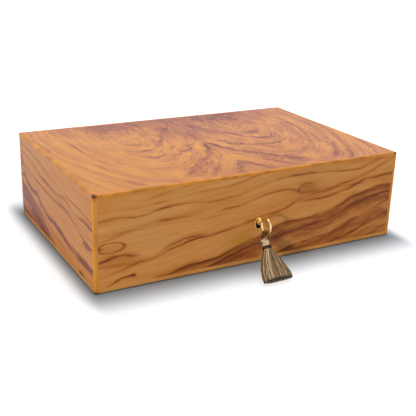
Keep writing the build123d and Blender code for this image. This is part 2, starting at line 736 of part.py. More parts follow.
with BuildPart() as lock_barrel:
    plug_back = CAP_FRONT - BARREL_CLEARANCE
    with BuildSketch(Plane.XZ.offset(-plug_back)):
        with Locations((0, KEY_HEIGHT)):
            Circle(BARREL_PLUG_RADIUS)
    extrude(amount=plug_back - PLUG_FRONT)
    with BuildSketch(Plane.XZ.offset(-LOCK_BACK)):
        with Locations((0, KEY_HEIGHT)):
            Circle(PIVOT_RADIUS)
    extrude(amount=LOCK_BACK - plug_back)
    keyway_back = BIT_BACK + BARREL_CLEARANCE
    keyway = keyway_back - PLUG_FRONT
    with BuildSketch(Plane.XZ.offset(-keyway_back)):
        with Locations((0, KEY_HEIGHT)):
            Circle(SHANK_RADIUS + SHANK_CLEARANCE)
        with Locations((0, KEY_HEIGHT - BARREL_PLUG_RADIUS)):
            Rectangle(BIT_THICK + 2 * BIT_SLOT_CLEARANCE, 2 * BARREL_PLUG_RADIUS)
    extrude(amount=keyway, mode=Mode.SUBTRACT)
save(lock_barrel, "lock_barrel")

# Escutcheon: a dished oval with a liner that is pressed into the keyhole
with BuildPart() as escutcheon:
    with BuildSketch(Plane.XZ.offset(HALF_D)):
        with Locations((0, ESCUTCHEON_Z)):
            Ellipse(ESCUTCHEON_WIDTH / 2, ESCUTCHEON_HEIGHT / 2)
    extrude(amount=ESCUTCHEON_THICK)
    fillet(edges().group_by(Axis.Y)[0], ESCUTCHEON_ROUND)
    with BuildSketch(Plane.XZ.offset(HALF_D + ESCUTCHEON_THICK - ESCUTCHEON_DISH)):
        with Locations((0, ESCUTCHEON_Z)):
            Ellipse(ESCUTCHEON_WIDTH / 2 - ESCUTCHEON_RIM, ESCUTCHEON_HEIGHT / 2 - ESCUTCHEON_RIM)
    extrude(amount=ESCUTCHEON_DISH, mode=Mode.SUBTRACT)
    keyhole(
        KEYHOLE_RADIUS + LINER_WALL,
        KEYHOLE_WIDTH + 2 * LINER_WALL,
        KEYHOLE_BOTTOM - LINER_WALL,
        -HALF_D + LINER_DEPTH,
        LINER_DEPTH,
        Mode.ADD,
    )
    keyhole(
        KEYHOLE_RADIUS,
        KEYHOLE_WIDTH,
        KEYHOLE_BOTTOM,
        -HALF_D + LINER_DEPTH,
        LINER_DEPTH + ESCUTCHEON_THICK,
        Mode.SUBTRACT,
    )
save(escutcheon, "escutcheon")

# Key: turned shank with a collar, cut bit and round bow
with BuildPart() as key:
    shank_front = BOW_Y + BOW_RADIUS
    with BuildSketch(Plane.XZ.offset(-BIT_BACK)):
        with Locations((0, KEY_HEIGHT)):
            Circle(SHANK_RADIUS)
    extrude(amount=BIT_BACK - shank_front)
    collar_back = -HALF_D - ESCUTCHEON_THICK - FIT
    with BuildSketch(Plane.XZ.offset(-collar_back)):
        with Locations((0, KEY_HEIGHT)):
            Circle(KEY_COLLAR_RADIUS)
    extrude(amount=KEY_COLLAR_LENGTH)
    collar_rims = edges().filter_by(lambda e: abs(e.length - 2 * pi * KEY_COLLAR_RADIUS) < FIT)
    fillet(collar_rims, KEY_COLLAR_ROUND)
    bit_y = (BIT_BACK - BIT_LENGTH, BIT_BACK)
    block(span(0, BIT_THICK), bit_y, (KEY_HEIGHT - BIT_REACH, KEY_HEIGHT - SHANK_RADIUS / 2))
    for step in (-1, 1):
        cut_y = BIT_BACK - BIT_LENGTH / 2 + step * BIT_CUT
        cut_z = (KEY_HEIGHT - BIT_REACH, KEY_HEIGHT - BIT_REACH + BIT_THICK)
        block(span(0, 2 * BIT_THICK), span(cut_y, BIT_CUT), cut_z, mode=Mode.SUBTRACT)
    with BuildSketch(Plane(origin=(0, BOW_Y, KEY_HEIGHT), x_dir=(0, 1, 0), z_dir=(0, 0, 1))):
        with Locations((BOW_RADIUS, 0)):
            Circle(BOW_BAR_RADIUS)
    revolve(axis=Axis((0, BOW_Y, KEY_HEIGHT), (1, 0, 0)))
save(key, "key")


# Tassel cord: half turns round the lowest bar of the bow, then two straight legs
def winding(frame, turn_radius, pitch, half_turns, flat_ends):
    """Places and headings at every quarter turn of a helix along the frame's Z."""
    rise = 2 * pitch / (4 * turn_radius)
    found = []
    last = 2 * half_turns
    for quarter in range(last + 1):
        angle = pi - quarter * pi / 2
        height = pitch * (quarter - half_turns) / 4
        climb = 0.0 if flat_ends and quarter in (0, last) else rise * 2 / pi
        place = Vector(turn_radius * cos(angle), turn_radius * sin(angle), height)
        heading = Vector(sin(angle), -cos(angle), climb).normalized()
        start = frame.from_local_coords(place)
        found.append((start, (frame.from_local_coords(place + heading) - start).normalized()))
    return found


def biarc(start, start_dir, end, end_dir):
    """Two tangent arcs from one place and heading to the next."""
    chord = end - start
    along = chord.dot(start_dir + end_dir)
    spread = 2 * (1 - start_dir.dot(end_dir))
    reach = (sqrt(along**2 + spread * chord.dot(chord)) - along) / spread
    middle = (start + start_dir * reach + end - end_dir * reach) * 0.5
    middle_dir = ((end - end_dir * reach) - (start + start_dir * reach)).normalized()
    TangentArc(start, middle, tangent=start_dir)
    TangentArc(middle, end, tangent=middle_dir)


def print_winding(name, wire, turn_radius, wire_radius):
    """Print a wound tube's length, turn radius and least gap to itself."""
    step_count = int(wire.length / wire_radius * MEASURE_STEPS)
    line = [wire.position_at(step / step_count) for step in range(step_count + 1)]
    apart = int(pi * turn_radius / (wire.length / step_count))
    nearest = min(
        (line[one] - line[two]).length
        for one in range(step_count + 1)
        for two in range(one + apart, step_count + 1)
    )
    gap = nearest - 2 * wire_radius
    print(f"{name}: length {wire.length:.1f}, turn radius {turn_radius:.2f}, least gap {gap:.2f}")


CORD_FRAME = Plane(origin=(0, BOW_Y, CORD_Z), x_dir=(1, 0, 0), z_dir=(0, -1, 0))
cord_turns = winding(CORD_FRAME, CORD_TURN_RADIUS, CORD_PITCH, CORD_HALF_TURNS, True)

with BuildPart() as tassel_cord:
    with BuildLine() as cord_line:
        Line(cord_turns[0][0] - Vector(0, 0, CORD_LEG), cord_turns[0][0])
        for (place, heading), (next_place, next_heading) in zip(cord_turns, cord_turns[1:]):
            biarc(place, heading, next_place, next_heading)
        Line(cord_turns[-1][0], cord_turns[-1][0] - Vector(0, 0, CORD_LEG))
    with BuildSketch(Plane(origin=cord_line.line @ 0, z_dir=cord_line.line % 0)):
        Circle(CORD_RADIUS)
    sweep()
save(tassel_cord, "tassel_cord")
print_winding("tassel cord", cord_line.wires()[0], CORD_TURN_RADIUS, CORD_RADIUS)


# Tassel: a bead and neck, the wound binding, and a skirt that leans out onto the table
def direction(lean, drift):
    """Unit direction that leans out from straight down and drifts to the left, in degrees."""
    out = sin(radians(lean))
    return Vector(-out * sin(radians(drift)), -out * cos(radians(drift)), -cos(radians(lean)))


HEAD_PLACE = Vector(0, BOW_Y, HEAD_Z)
LEAN_DIR = direction(TASSEL_LEAN, 0)
NECK_END = HEAD_PLACE + LEAN_DIR * NECK_LENGTH

with BuildPart() as tassel_head:
    head_section = Plane(origin=HEAD_PLACE, x_dir=(1, 0, 0), z_dir=LEAN_DIR.cross(Vector(1, 0, 0)))
    across = head_section.y_dir.dot(LEAN_DIR)
    neck_join = sqrt(HEAD_RADIUS**2 - NECK_RADIUS**2)
    with BuildSketch(head_section):
        with BuildLine():
            Line((0, -across * HEAD_RADIUS), (0, across * NECK_LENGTH))
            Line((0, across * NECK_LENGTH), (NECK_RADIUS, across * NECK_LENGTH))
            Line((NECK_RADIUS, across * NECK_LENGTH), (NECK_RADIUS, across * neck_join))
            ThreePointArc((NECK_RADIUS, across * neck_join), (HEAD_RADIUS, 0), (0, -across * HEAD_RADIUS))
        make_face()
    revolve(axis=Axis(HEAD_PLACE, LEAN_DIR))
save(tassel_head, "tassel_head")

BINDING_TURN_RADIUS = NECK_RADIUS + BINDING_CLEARANCE + BINDING_RADIUS
binding_middle = BINDING_START + BINDING_PITCH * BINDING_HALF_TURNS / 4
BINDING_FRAME = Plane(origin=HEAD_PLACE + LEAN_DIR * binding_middle, x_dir=(1, 0, 0), z_dir=LEAN_DIR)
binding_turns = winding(BINDING_FRAME, BINDING_TURN_RADIUS, BINDING_PITCH, BINDING_HALF_TURNS, False)

with BuildPart() as tassel_binding:
    with BuildLine() as binding_line:
        first_place, first_heading = binding_turns[0]
        last_place, last_heading = binding_turns[-1]
        Line(first_place - first_heading * 2 * BINDING_RADIUS, first_place)
        for (place, heading), (next_place, next_heading) in zip(binding_turns, binding_turns[1:]):
            biarc(place, heading, next_place, next_heading)
        Line(last_place, last_place + last_heading * 2 * BINDING_RADIUS)
    with BuildSketch(Plane(origin=binding_line.line @ 0, z_dir=binding_line.line % 0)):
        Circle(BINDING_RADIUS)
    sweep()
save(tassel_binding, "tassel_binding")
print_winding("tassel binding", binding_line.wires()[0], BINDING_TURN_RADIUS, BINDING_RADIUS)

SKIRT_END_DIR = direction(SKIRT_END_LEAN, SKIRT_END_DRIFT)
SKIRT_LENGTH = (Vector(*SKIRT_END) - NECK_END).length


def skirt_place(along):
    """Centre and heading of the skirt at a share of its length."""
    end = Vector(*SKIRT_END)
    start_pull = LEAN_DIR * SKIRT_LENGTH
    end_pull = SKIRT_END_DIR * SKIRT_LENGTH
    square = along**2
    cube = along**3
    place = (
        NECK_END * (2 * cube - 3 * square + 1)
        + start_pull * (cube - 2 * square + along)
        + end * (3 * square - 2 * cube)
        + end_pull * (cube - square)
    )
    heading = (
        NECK_END * (6 * square - 6 * along)
        + start_pull * (3 * square - 4 * along + 1)
        + end * (6 * along - 6 * square)
        + end_pull * (3 * square - 2 * along)
    )
    return place, heading.normalized()


with BuildPart() as tassel_skirt:
    for along in SKIRT_STATIONS:
        place, heading = skirt_place(along)
        flare = 1 - (1 - along) ** SKIRT_FLARE
        half_width = SKIRT_START_HALF + (SKIRT_END_HALF - SKIRT_START_HALF) * flare
        half_thick = SKIRT_START_HALF + (SKIRT_END_THICK - SKIRT_START_HALF) * along
        depth = 1 - SKIRT_FLUTE_DEPTH
        sideways = Vector(1, 0, 0) - heading * heading.X
        with BuildSketch(Plane(origin=place, x_dir=sideways, z_dir=heading)):
            with BuildLine():
                for flute in range(SKIRT_FLUTES):
                    start, peak, end = [2 * pi * (flute + part) / SKIRT_FLUTES for part in (0, 0.5, 1)]
                    ThreePointArc(
                        (half_width * depth * cos(start), half_thick * depth * sin(start)),
                        (half_width * cos(peak), half_thick * sin(peak)),
                        (half_width * depth * cos(end), half_thick * depth * sin(end)),
                    )
            make_face()
    loft()
save(tassel_skirt, "tassel_skirt")

with BuildPart() as tassel_tail:
    tail_start = HEAD_PLACE + Vector(-HEAD_RADIUS - FIT, 0, 0)
    tail_end = Vector(*TAIL_END)
    with BuildLine() as tail_line:
        TangentArc(tail_start, tail_end, tangent=(-1, 0, 0))
    with BuildSketch(Plane(origin=tail_start, z_dir=(-1, 0, 0))):
        Circle(TAIL_RADIUS)
    sweep()
    with Locations(tail_end):
        Sphere(KNOT_RADIUS)
save(tassel_tail, "tassel_tail")

# Tray: a frame with finger notches in its ends and a slatted floor let into a rebate
TRAY_LEFT = -ROOM_X + TRAY_SIDE_CLEARANCE
TRAY_X = (TRAY_LEFT, TRAY_LEFT + TRAY_LENGTH)
TRAY_Y = (-ROOM_Y + TRAY_SIDE_CLEARANCE, ROOM_Y - TRAY_SIDE_CLEARANCE)
TRAY_BOTTOM = LEDGE_TOP + TRAY_FLOAT
TRAY_TOP = TRAY_BOTTOM + TRAY_HEIGHT
SLAT_TOP = TRAY_BOTTOM + SLAT_THICK


def inset(limits, amount):
    """A range made smaller at both ends."""
    return (limits[0] + amount, limits[1] - amount)


def finger_notch(height, x_range):
    """A round-cornered notch cut down from a top edge, through a wall square to X."""
    with BuildSketch(Plane.YZ.offset(x_range[0])) as notch:
        with Locations((0, height)):
            RectangleRounded(NOTCH_WIDTH, 2 * NOTCH_DEPTH, NOTCH_RADIUS)
    extrude(notch.sketch, amount=x_range[1] - x_range[0], mode=Mode.SUBTRACT)


with BuildPart() as tray_frame:
    block(TRAY_X, TRAY_Y, (TRAY_BOTTOM, TRAY_TOP))
    fillet(edges().filter_by(Axis.Z), ARRIS)
    room_x = inset(TRAY_X, TRAY_WALL)
    room_y = inset(TRAY_Y, TRAY_WALL)
    block(room_x, room_y, (TRAY_BOTTOM, TRAY_TOP), mode=Mode.SUBTRACT)
    floor_x = inset(TRAY_X, TRAY_WALL - TRAY_REBATE)
    floor_y = inset(TRAY_Y, TRAY_WALL - TRAY_REBATE)
    block(floor_x, floor_y, (TRAY_BOTTOM, SLAT_TOP), mode=Mode.SUBTRACT)
    finger_notch(TRAY_TOP, TRAY_X)
save(tray_frame, "tray_frame")

with BuildPart() as tray_slats:
    slat_pitch = (floor_x[1] - floor_x[0] - SLAT_WIDTH) / (SLAT_COUNT - 1)
    for index in range(SLAT_COUNT):
        slat_x = floor_x[0] + SLAT_WIDTH / 2 + index * slat_pitch
        block(span(slat_x, SLAT_WIDTH), floor_y, (TRAY_BOTTOM, SLAT_TOP))
save(tray_slats, "tray_slats")

with BuildPart() as tray_divider:
    tray_middle = sum(TRAY_X) / 2
    divider_x = span(tray_middle, TRAY_DIVIDER)
    divider_top = SLAT_TOP + DIVIDER_FLOAT + TRAY_DIVIDER_HEIGHT
    block(divider_x, inset(room_y, LOWER_DIVIDER_CLEARANCE), (SLAT_TOP + DIVIDER_FLOAT, divider_top))
    finger_notch(divider_top, divider_x)
save(tray_divider, "tray_divider")

with BuildPart() as lower_divider:
    divider_x = span(0, LOWER_DIVIDER)
    divider_y = inset((-ROOM_Y, ROOM_Y), LOWER_DIVIDER_CLEARANCE)
    divider_top = LEDGE_TOP - LEDGE - LOWER_DIVIDER_CLEARANCE
    block(divider_x, divider_y, (FLOOR_TOP + DIVIDER_FLOAT, divider_top))
    finger_notch(divider_top, divider_x)
save(lower_divider, "lower_divider")


# Hygrometer: a turned case in the lid, with a bezel, glass, dial and needle
def ring_at(x, bottom, top, radius, mode=Mode.ADD):
    """A disc about a vertical axis through (x, 0)."""
    with BuildSketch(Plane.XY.offset(bottom)) as disc:
        with Locations((x, 0)):
            Circle(radius)
    extrude(disc.sketch, amount=top - bottom, mode=mode)


BEZEL_BOTTOM = PANEL_UNDERSIDE - BEZEL_THICK
HYGRO_BORE = HYGRO_RADIUS - HYGRO_SHEET
GLASS_TOP = PANEL_UNDERSIDE - RUN_CLEARANCE
NEEDLE_BOTTOM = PANEL_UNDERSIDE + NEEDLE_CLEARANCE
DIAL_BOTTOM = PANEL_UNDERSIDE + DIAL_SETBACK
DIAL_TOP = DIAL_BOTTOM + DIAL_THICK
PIVOT_BOTTOM = DIAL_TOP + NEEDLE_CLEARANCE

with BuildPart() as hygrometer_case:
    ring_at(HYGRO_X, PANEL_UNDERSIDE, HYGRO_TOP - FIT, HYGRO_RADIUS)
    ring_at(HYGRO_X, PANEL_UNDERSIDE, DIAL_TOP, HYGRO_BORE, mode=Mode.SUBTRACT)
    cup_top = HYGRO_TOP - FIT - HYGRO_SHEET
    ring_at(HYGRO_X, DIAL_TOP, cup_top, HYGRO_BORE - HYGRO_SHEET, mode=Mode.SUBTRACT)
    ring_at(HYGRO_X, PIVOT_BOTTOM, HYGRO_TOP - FIT, PIVOT_BOSS_RADIUS)
    ring_at(HYGRO_X, PIVOT_BOTTOM, cup_top, ARBOR_RADIUS + RUN_CLEARANCE, mode=Mode.SUBTRACT)
save(hygrometer_case, "hygrometer_case")

with BuildPart() as hygrometer_bezel:
    ring_at(HYGRO_X, BEZEL_BOTTOM, PANEL_UNDERSIDE, BEZEL_RADIUS)
    fillet(edges().group_by(Axis.Z)[0], BEZEL_ROUND)
    ring_at(HYGRO_X, BEZEL_BOTTOM, PANEL_UNDERSIDE, HYGRO_BORE - BEZEL_LIP, mode=Mode.SUBTRACT)
    glass_seat = GLASS_TOP - GLASS_THICK
    ring_at(HYGRO_X, glass_seat, PANEL_UNDERSIDE, HYGRO_BORE, mode=Mode.SUBTRACT)
save(hygrometer_bezel, "hygrometer_bezel")

with BuildPart() as hygrometer_glass:
    ring_at(HYGRO_X, glass_seat, GLASS_TOP, HYGRO_BORE - FIT)
save(hygrometer_glass, "hygrometer_glass")

with BuildPart() as hygrometer_dial:
    ring_at(HYGRO_X, DIAL_BOTTOM, DIAL_TOP, HYGRO_BORE - FIT)
    ring_at(HYGRO_X, DIAL_BOTTOM, DIAL_TOP, ARBOR_RADIUS + RUN_CLEARANCE, mode=Mode.SUBTRACT)
save(hygrometer_dial, "hygrometer_dial")

with BuildPart() as hygrometer_needle:
    with BuildSketch(Plane.XY.offset(NEEDLE_BOTTOM)):
        with BuildLine():
            Polyline(
                (HYGRO_X - NEEDLE_WIDTH / 2, NEEDLE_TAIL),
                (HYGRO_X - NEEDLE_TIP / 2, -NEEDLE_LENGTH),
                (HYGRO_X + NEEDLE_TIP / 2, -NEEDLE_LENGTH),
                (HYGRO_X + NEEDLE_WIDTH / 2, NEEDLE_TAIL),
                close=True,
            )
        make_face()
    extrude(amount=NEEDLE_THICK)
    ring_at(HYGRO_X, NEEDLE_BOTTOM, NEEDLE_BOTTOM + 2 * NEEDLE_THICK, NEEDLE_WIDTH)
    ring_at(HYGRO_X, NEEDLE_BOTTOM, cup_top - FIT, ARBOR_RADIUS)
save(hygrometer_needle, "hygrometer_needle")

# Humidifier: a tub of foam behind a slotted grille, held to a steel plate by magnets
PLATE_BOTTOM = PANEL_UNDERSIDE - HUMID_PLATE
TUB_UPPER = PLATE_BOTTOM - HUMID_GAP
TUB_LOWER = TUB_UPPER - TUB_HEIGHT
CAVITY_TOP = TUB_UPPER - TUB_TOP


def rounded_slab(length, width, corner, bottom, top, mode=Mode.ADD):
    """A round-cornered slab under the middle of the humidifier."""
    with BuildSketch(Plane.XY.offset(bottom)) as slab:
        with Locations((HUMID_X, 0)):
            RectangleRounded(length, width, corner)
    extrude(slab.sketch, amount=top - bottom, mode=mode)


with BuildPart() as humidifier_plate:
    rounded_slab(HUMID_PLATE_LENGTH, HUMID_PLATE_WIDTH, HUMID_CORNER / 2, PLATE_BOTTOM, PANEL_UNDERSIDE)
save(humidifier_plate, "humidifier_plate")

MAGNET_PLACES = [HUMID_X + step * MAGNET_SPACING for step in (-1, 0, 1)]
MAGNET_BOTTOM = TUB_UPPER - MAGNET_THICK
CAVITY_LENGTH = HUMID_LENGTH - 2 * TUB_WALL
CAVITY_WIDTH = HUMID_WIDTH - 2 * TUB_WALL
CAVITY_CORNER = HUMID_CORNER - TUB_WALL

with BuildPart() as humidifier_tub:
    rounded_slab(HUMID_LENGTH, HUMID_WIDTH, HUMID_CORNER, TUB_LOWER, TUB_UPPER)
    rounded_slab(CAVITY_LENGTH, CAVITY_WIDTH, CAVITY_CORNER, TUB_LOWER, CAVITY_TOP, mode=Mode.SUBTRACT)
    for x in MAGNET_PLACES:
        ring_at(x, MAGNET_BOTTOM, TUB_UPPER, MAGNET_RADIUS + FIT, mode=Mode.SUBTRACT)
save(humidifier_tub, "humidifier_tub")

with BuildPart() as humidifier_magnets:
    for x in MAGNET_PLACES:
        ring_at(x, MAGNET_BOTTOM, TUB_UPPER, MAGNET_RADIUS)
save(humidifier_magnets, "humidifier_magnets")

LIP_LENGTH = CAVITY_LENGTH - 2 * FIT
LIP_WIDTH = CAVITY_WIDTH - 2 * FIT
LIP_UPPER = TUB_LOWER + GRILLE_THICK

with BuildPart() as humidifier_grille:
    rounded_slab(HUMID_LENGTH, HUMID_WIDTH, HUMID_CORNER, TUB_LOWER - GRILLE_THICK, TUB_LOWER)
    fillet(edges().group_by(Axis.Z)[0], GRILLE_ROUND)
    rounded_slab(LIP_LENGTH, LIP_WIDTH, CAVITY_CORNER, TUB_LOWER, LIP_UPPER)
    rounded_slab(
        LIP_LENGTH - 2 * GRILLE_LIP,
        LIP_WIDTH - 2 * GRILLE_LIP,
        CAVITY_CORNER - GRILLE_LIP,
        TUB_LOWER,
        LIP_UPPER,
        mode=Mode.SUBTRACT,
    )
    with BuildSketch(Plane.XY.offset(TUB_LOWER - GRILLE_THICK)):
        with Locations((HUMID_X, 0)):
            with GridLocations(GRILLE_SLOT_PITCH, 0, GRILLE_SLOTS, 1):
                SlotOverall(GRILLE_SLOT_LENGTH, GRILLE_SLOT_WIDTH, rotation=90)
    extrude(amount=GRILLE_THICK, mode=Mode.SUBTRACT)
save(humidifier_grille, "humidifier_grille")

with BuildPart() as humidifier_foam:
    rounded_slab(
        CAVITY_LENGTH - 2 * FOAM_CLEARANCE,
        CAVITY_WIDTH - 2 * FOAM_CLEARANCE,
        CAVITY_CORNER - FOAM_CLEARANCE,
        LIP_UPPER + FOAM_CLEARANCE,
        CAVITY_TOP - FOAM_CLEARANCE,
    )
save(humidifier_foam, "humidifier_foam")

print(f"head centre {HEAD_PLACE}, neck end {NECK_END}, skirt length {SKIRT_LENGTH:.1f}")
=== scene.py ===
import math

import bmesh
import bpy
from mathutils import Matrix, Vector


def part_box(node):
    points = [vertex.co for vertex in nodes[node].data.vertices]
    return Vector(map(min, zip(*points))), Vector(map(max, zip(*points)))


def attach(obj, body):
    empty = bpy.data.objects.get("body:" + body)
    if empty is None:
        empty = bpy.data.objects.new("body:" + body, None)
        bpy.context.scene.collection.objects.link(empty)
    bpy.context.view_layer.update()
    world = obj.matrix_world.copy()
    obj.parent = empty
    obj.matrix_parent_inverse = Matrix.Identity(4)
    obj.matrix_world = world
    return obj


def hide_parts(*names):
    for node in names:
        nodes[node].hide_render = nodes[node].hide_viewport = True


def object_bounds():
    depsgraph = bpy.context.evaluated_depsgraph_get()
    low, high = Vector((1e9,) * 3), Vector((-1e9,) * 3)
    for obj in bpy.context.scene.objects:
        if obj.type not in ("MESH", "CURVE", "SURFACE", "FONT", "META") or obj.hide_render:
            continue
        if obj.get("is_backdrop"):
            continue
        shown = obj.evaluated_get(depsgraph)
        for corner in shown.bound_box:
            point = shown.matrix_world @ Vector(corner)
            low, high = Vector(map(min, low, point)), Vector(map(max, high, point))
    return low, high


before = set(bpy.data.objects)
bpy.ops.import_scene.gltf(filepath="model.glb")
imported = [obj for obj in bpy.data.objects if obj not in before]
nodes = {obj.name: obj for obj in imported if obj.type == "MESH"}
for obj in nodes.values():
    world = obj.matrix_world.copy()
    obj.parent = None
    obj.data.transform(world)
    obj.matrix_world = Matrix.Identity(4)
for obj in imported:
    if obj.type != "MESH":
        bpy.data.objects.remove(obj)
cad_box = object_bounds()

# Camera: it stands in front of the box, to its left and a little above it, and is
# turned slightly about its own axis. Angles in degrees, the place in metres.
CAMERA_AZIMUTH = -29.37
CAMERA_ELEVATION = 20.43
CAMERA_ROLL = 1.81
CAMERA_LENS = 65.95
CAMERA_PLACE = (-0.4062, -0.7346, 0.3329)


def new_object(name, data):
    """An object in the scene that holds this mesh, curve, lamp or camera."""
    made = bpy.data.objects.new(name, data)
    bpy.context.scene.collection.objects.link(made)
    return made


azimuth = math.radians(CAMERA_AZIMUTH)
elevation = math.radians(CAMERA_ELEVATION)
roll = math.radians(CAMERA_ROLL)
towards = Vector((
    math.sin(azimuth) * math.cos(elevation),
    -math.cos(azimuth) * math.cos(elevation),
    math.sin(elevation),
))
level = Vector((0, 0, 1)).cross(towards).normalized()
upright = towards.cross(level)
rightwards = level * math.cos(roll) + upright * math.sin(roll)
upwards = upright * math.cos(roll) - level * math.sin(roll)
camera_data = bpy.data.cameras.new("camera")
camera_data.lens = CAMERA_LENS
camera = new_object("camera", camera_data)
camera_turn = Matrix((rightwards, upwards, towards)).transposed().to_4x4()
camera.matrix_world = Matrix.Translation(CAMERA_PLACE) @ camera_turn
bpy.context.scene.camera = camera


# Olive veneer: the case and the lid are wrapped in one flitch of olive wood, so the
# figure runs on round the corners as in a mirror. It has honey-coloured ground, fine
# brown growth lines, a reddish heart low on the right, and a thin polished lacquer.
class Socket:
    """An output socket of a node tree. Arithmetic on it adds Math nodes to the tree."""

    def __init__(self, tree, output):
        self.tree = tree
        self.output = output

    def node(self, kind, inputs=None, output=0, **settings):
        """Add a node: first its settings, then the values or links of its inputs."""
        made = self.tree.nodes.new(kind)
        for name, value in settings.items():
            if name == "stops":
                ramp = made.color_ramp
                while len(ramp.elements) < len(value):
                    ramp.elements.new(1.0)
                for element, (place, shade) in zip(ramp.elements, value):
                    element.position = place
                    element.color = (*shade, 1)[:4] if isinstance(shade, tuple) else (shade, shade, shade, 1)
            elif name == "blending":
                made.color_ramp.interpolation = value
            else:
                setattr(made, name, value)
        for name, value in (inputs or {}).items():
            if isinstance(value, Socket):
                self.tree.links.new(value.output, made.inputs[name])
            else:
                made.inputs[name].default_value = value
        return Socket(self.tree, made.outputs[output])

    def axes(self):
        """The x, y and z of this vector."""
        split = self.node("ShaderNodeSeparateXYZ", {0: self}).output.node
        return [Socket(self.tree, output) for output in split.outputs]

    def second(self):
        """The second output of the same node, such as a ramp's alpha."""
        return Socket(self.tree, self.output.node.outputs[1])

    def math(self, operation, *values):
        return self.node("ShaderNodeMath", dict(enumerate((self, *values))), operation=operation)

    def __add__(self, other):
        return self.math("ADD", other)

    def __sub__(self, other):
        return self.math("SUBTRACT", other)

    def __mul__(self, other):
        return self.math("MULTIPLY", other)

    def __truediv__(self, other):
        return self.math("DIVIDE", other)

    def __pow__(self, other):
        return self.math("POWER", other)

    def __abs__(self):
        return self.math("ABSOLUTE")

    def __lt__(self, other):
        return self.math("LESS_THAN", other)

    def __gt__(self, other):
        return self.math("GREATER_THAN", other)

    def __radd__(self, other):
        return self + other

    def __rmul__(self, other):
        return self * other

    def __rsub__(self, other):
        return self * -1.0 + other

    def __rtruediv__(self, other):
        return self ** -1.0 * other

    def ramp(self, stops, blending="LINEAR"):
        """Read a ramp of (place, shade) stops at this value."""
        return self.node("ShaderNodeValToRGB", {0: self}, blending=blending, stops=stops)

    def smooth(self, low, high, from_value=0.0, to_value=1.0):
        """Pass smoothly from one value to another between two limits."""
        inputs = {0: self, 1: low, 2: high, 3: from_value, 4: to_value}
        return self.node("ShaderNodeMapRange", inputs, interpolation_type="SMOOTHSTEP")

    def bell(self, width):
        """A soft peak where this value is zero."""
        return ((self / width) ** 2.0 * -1.0).math("EXPONENT")

    def noise(self, scale, detail=2.0, roughness=0.5):
        """Noise from 0 to 1 at this vector."""
        inputs = {"Vector": self, "Scale": scale, "Detail": detail, "Roughness": roughness}
        return self.node("ShaderNodeTexNoise", inputs)

    def tint(self, other, share):
        """Mix this colour with another, a socket or red, green and blue, by a share."""
        shade = other if isinstance(other, Socket) else (*other, 1.0)
        return self.node("ShaderNodeMix", {0: share, 6: self, 7: shade}, 2, data_type="RGBA")


def join(*parts):
    """A vector from three values, at least one of which is a socket."""
    any_socket = next(part for part in parts if isinstance(part, Socket))
    return any_socket.node("ShaderNodeCombineXYZ", dict(enumerate(parts)))


def finish(name, **fixed):
    """A new material with fixed values set, its shader, and its place on the object."""
    made = bpy.data.materials.new(name)
    made.use_nodes = True
    tree = made.node_tree
    shader = tree.nodes["Principled BSDF"]
    for label, value in fixed.items():
        shader.inputs[label.replace("_", " ")].default_value = value
    place = Socket(tree, tree.nodes.new("ShaderNodeTexCoord").outputs["Object"])
    return made, shader, place


def feed(shader, value, label="Base Color"):
    """Link a value to one input of a shader."""
    value.tree.links.new(value.output, shader.inputs[label])


def relief(shader, height, distance, strength=1.0):
    """Bump from a height, as a share of a distance in metres."""
    inputs = {"Strength": strength, "Distance": distance, "Height": height}
    feed(shader, height.node("ShaderNodeBump", inputs), "Normal")


def dress(slot, material, names=tuple(nodes)):
    """Put a material on the CAD nodes of one finish, or on those that are named of them."""
    for name in names:
        for held in nodes[name].material_slots:
            if held.material and held.material.name.split(".")[0] == slot:
                held.material = material


VENEER_GROUND = ((0.0, (0.85, 0.39, 0.115)), (0.2, (0.735, 0.288, 0.066)), (0.4, (0.565, 0.182, 0.034)),
                 (0.6, (0.39, 0.106, 0.018)), (0.8, (0.23, 0.053, 0.011)), (1.0, (0.1, 0.022, 0.006)))
LACQUER = {"Roughness": 0.36, "Coat_Weight": 0.13, "Coat_Roughness": 0.07, "Specular_IOR_Level": 0.05}
MM = 0.001
FRONT_SPAN = (0, 360)
HEIGHT_MM = 100
HALF_LENGTH = 0.18
HALF_DEPTH = 0.12
LINE_REACH = 0.008

# Shade across a growth line, from 4 mm below it to 4 mm above it
LINE_SHADE = ((0.04, 0.0), (0.28, 0.14), (0.4, 0.4), (0.455, 0.88), (0.5, 1.0), (0.54, 0.88),
              (0.59, 0.56), (0.7, 0.34), (0.84, 0.12), (0.98, 0.0))
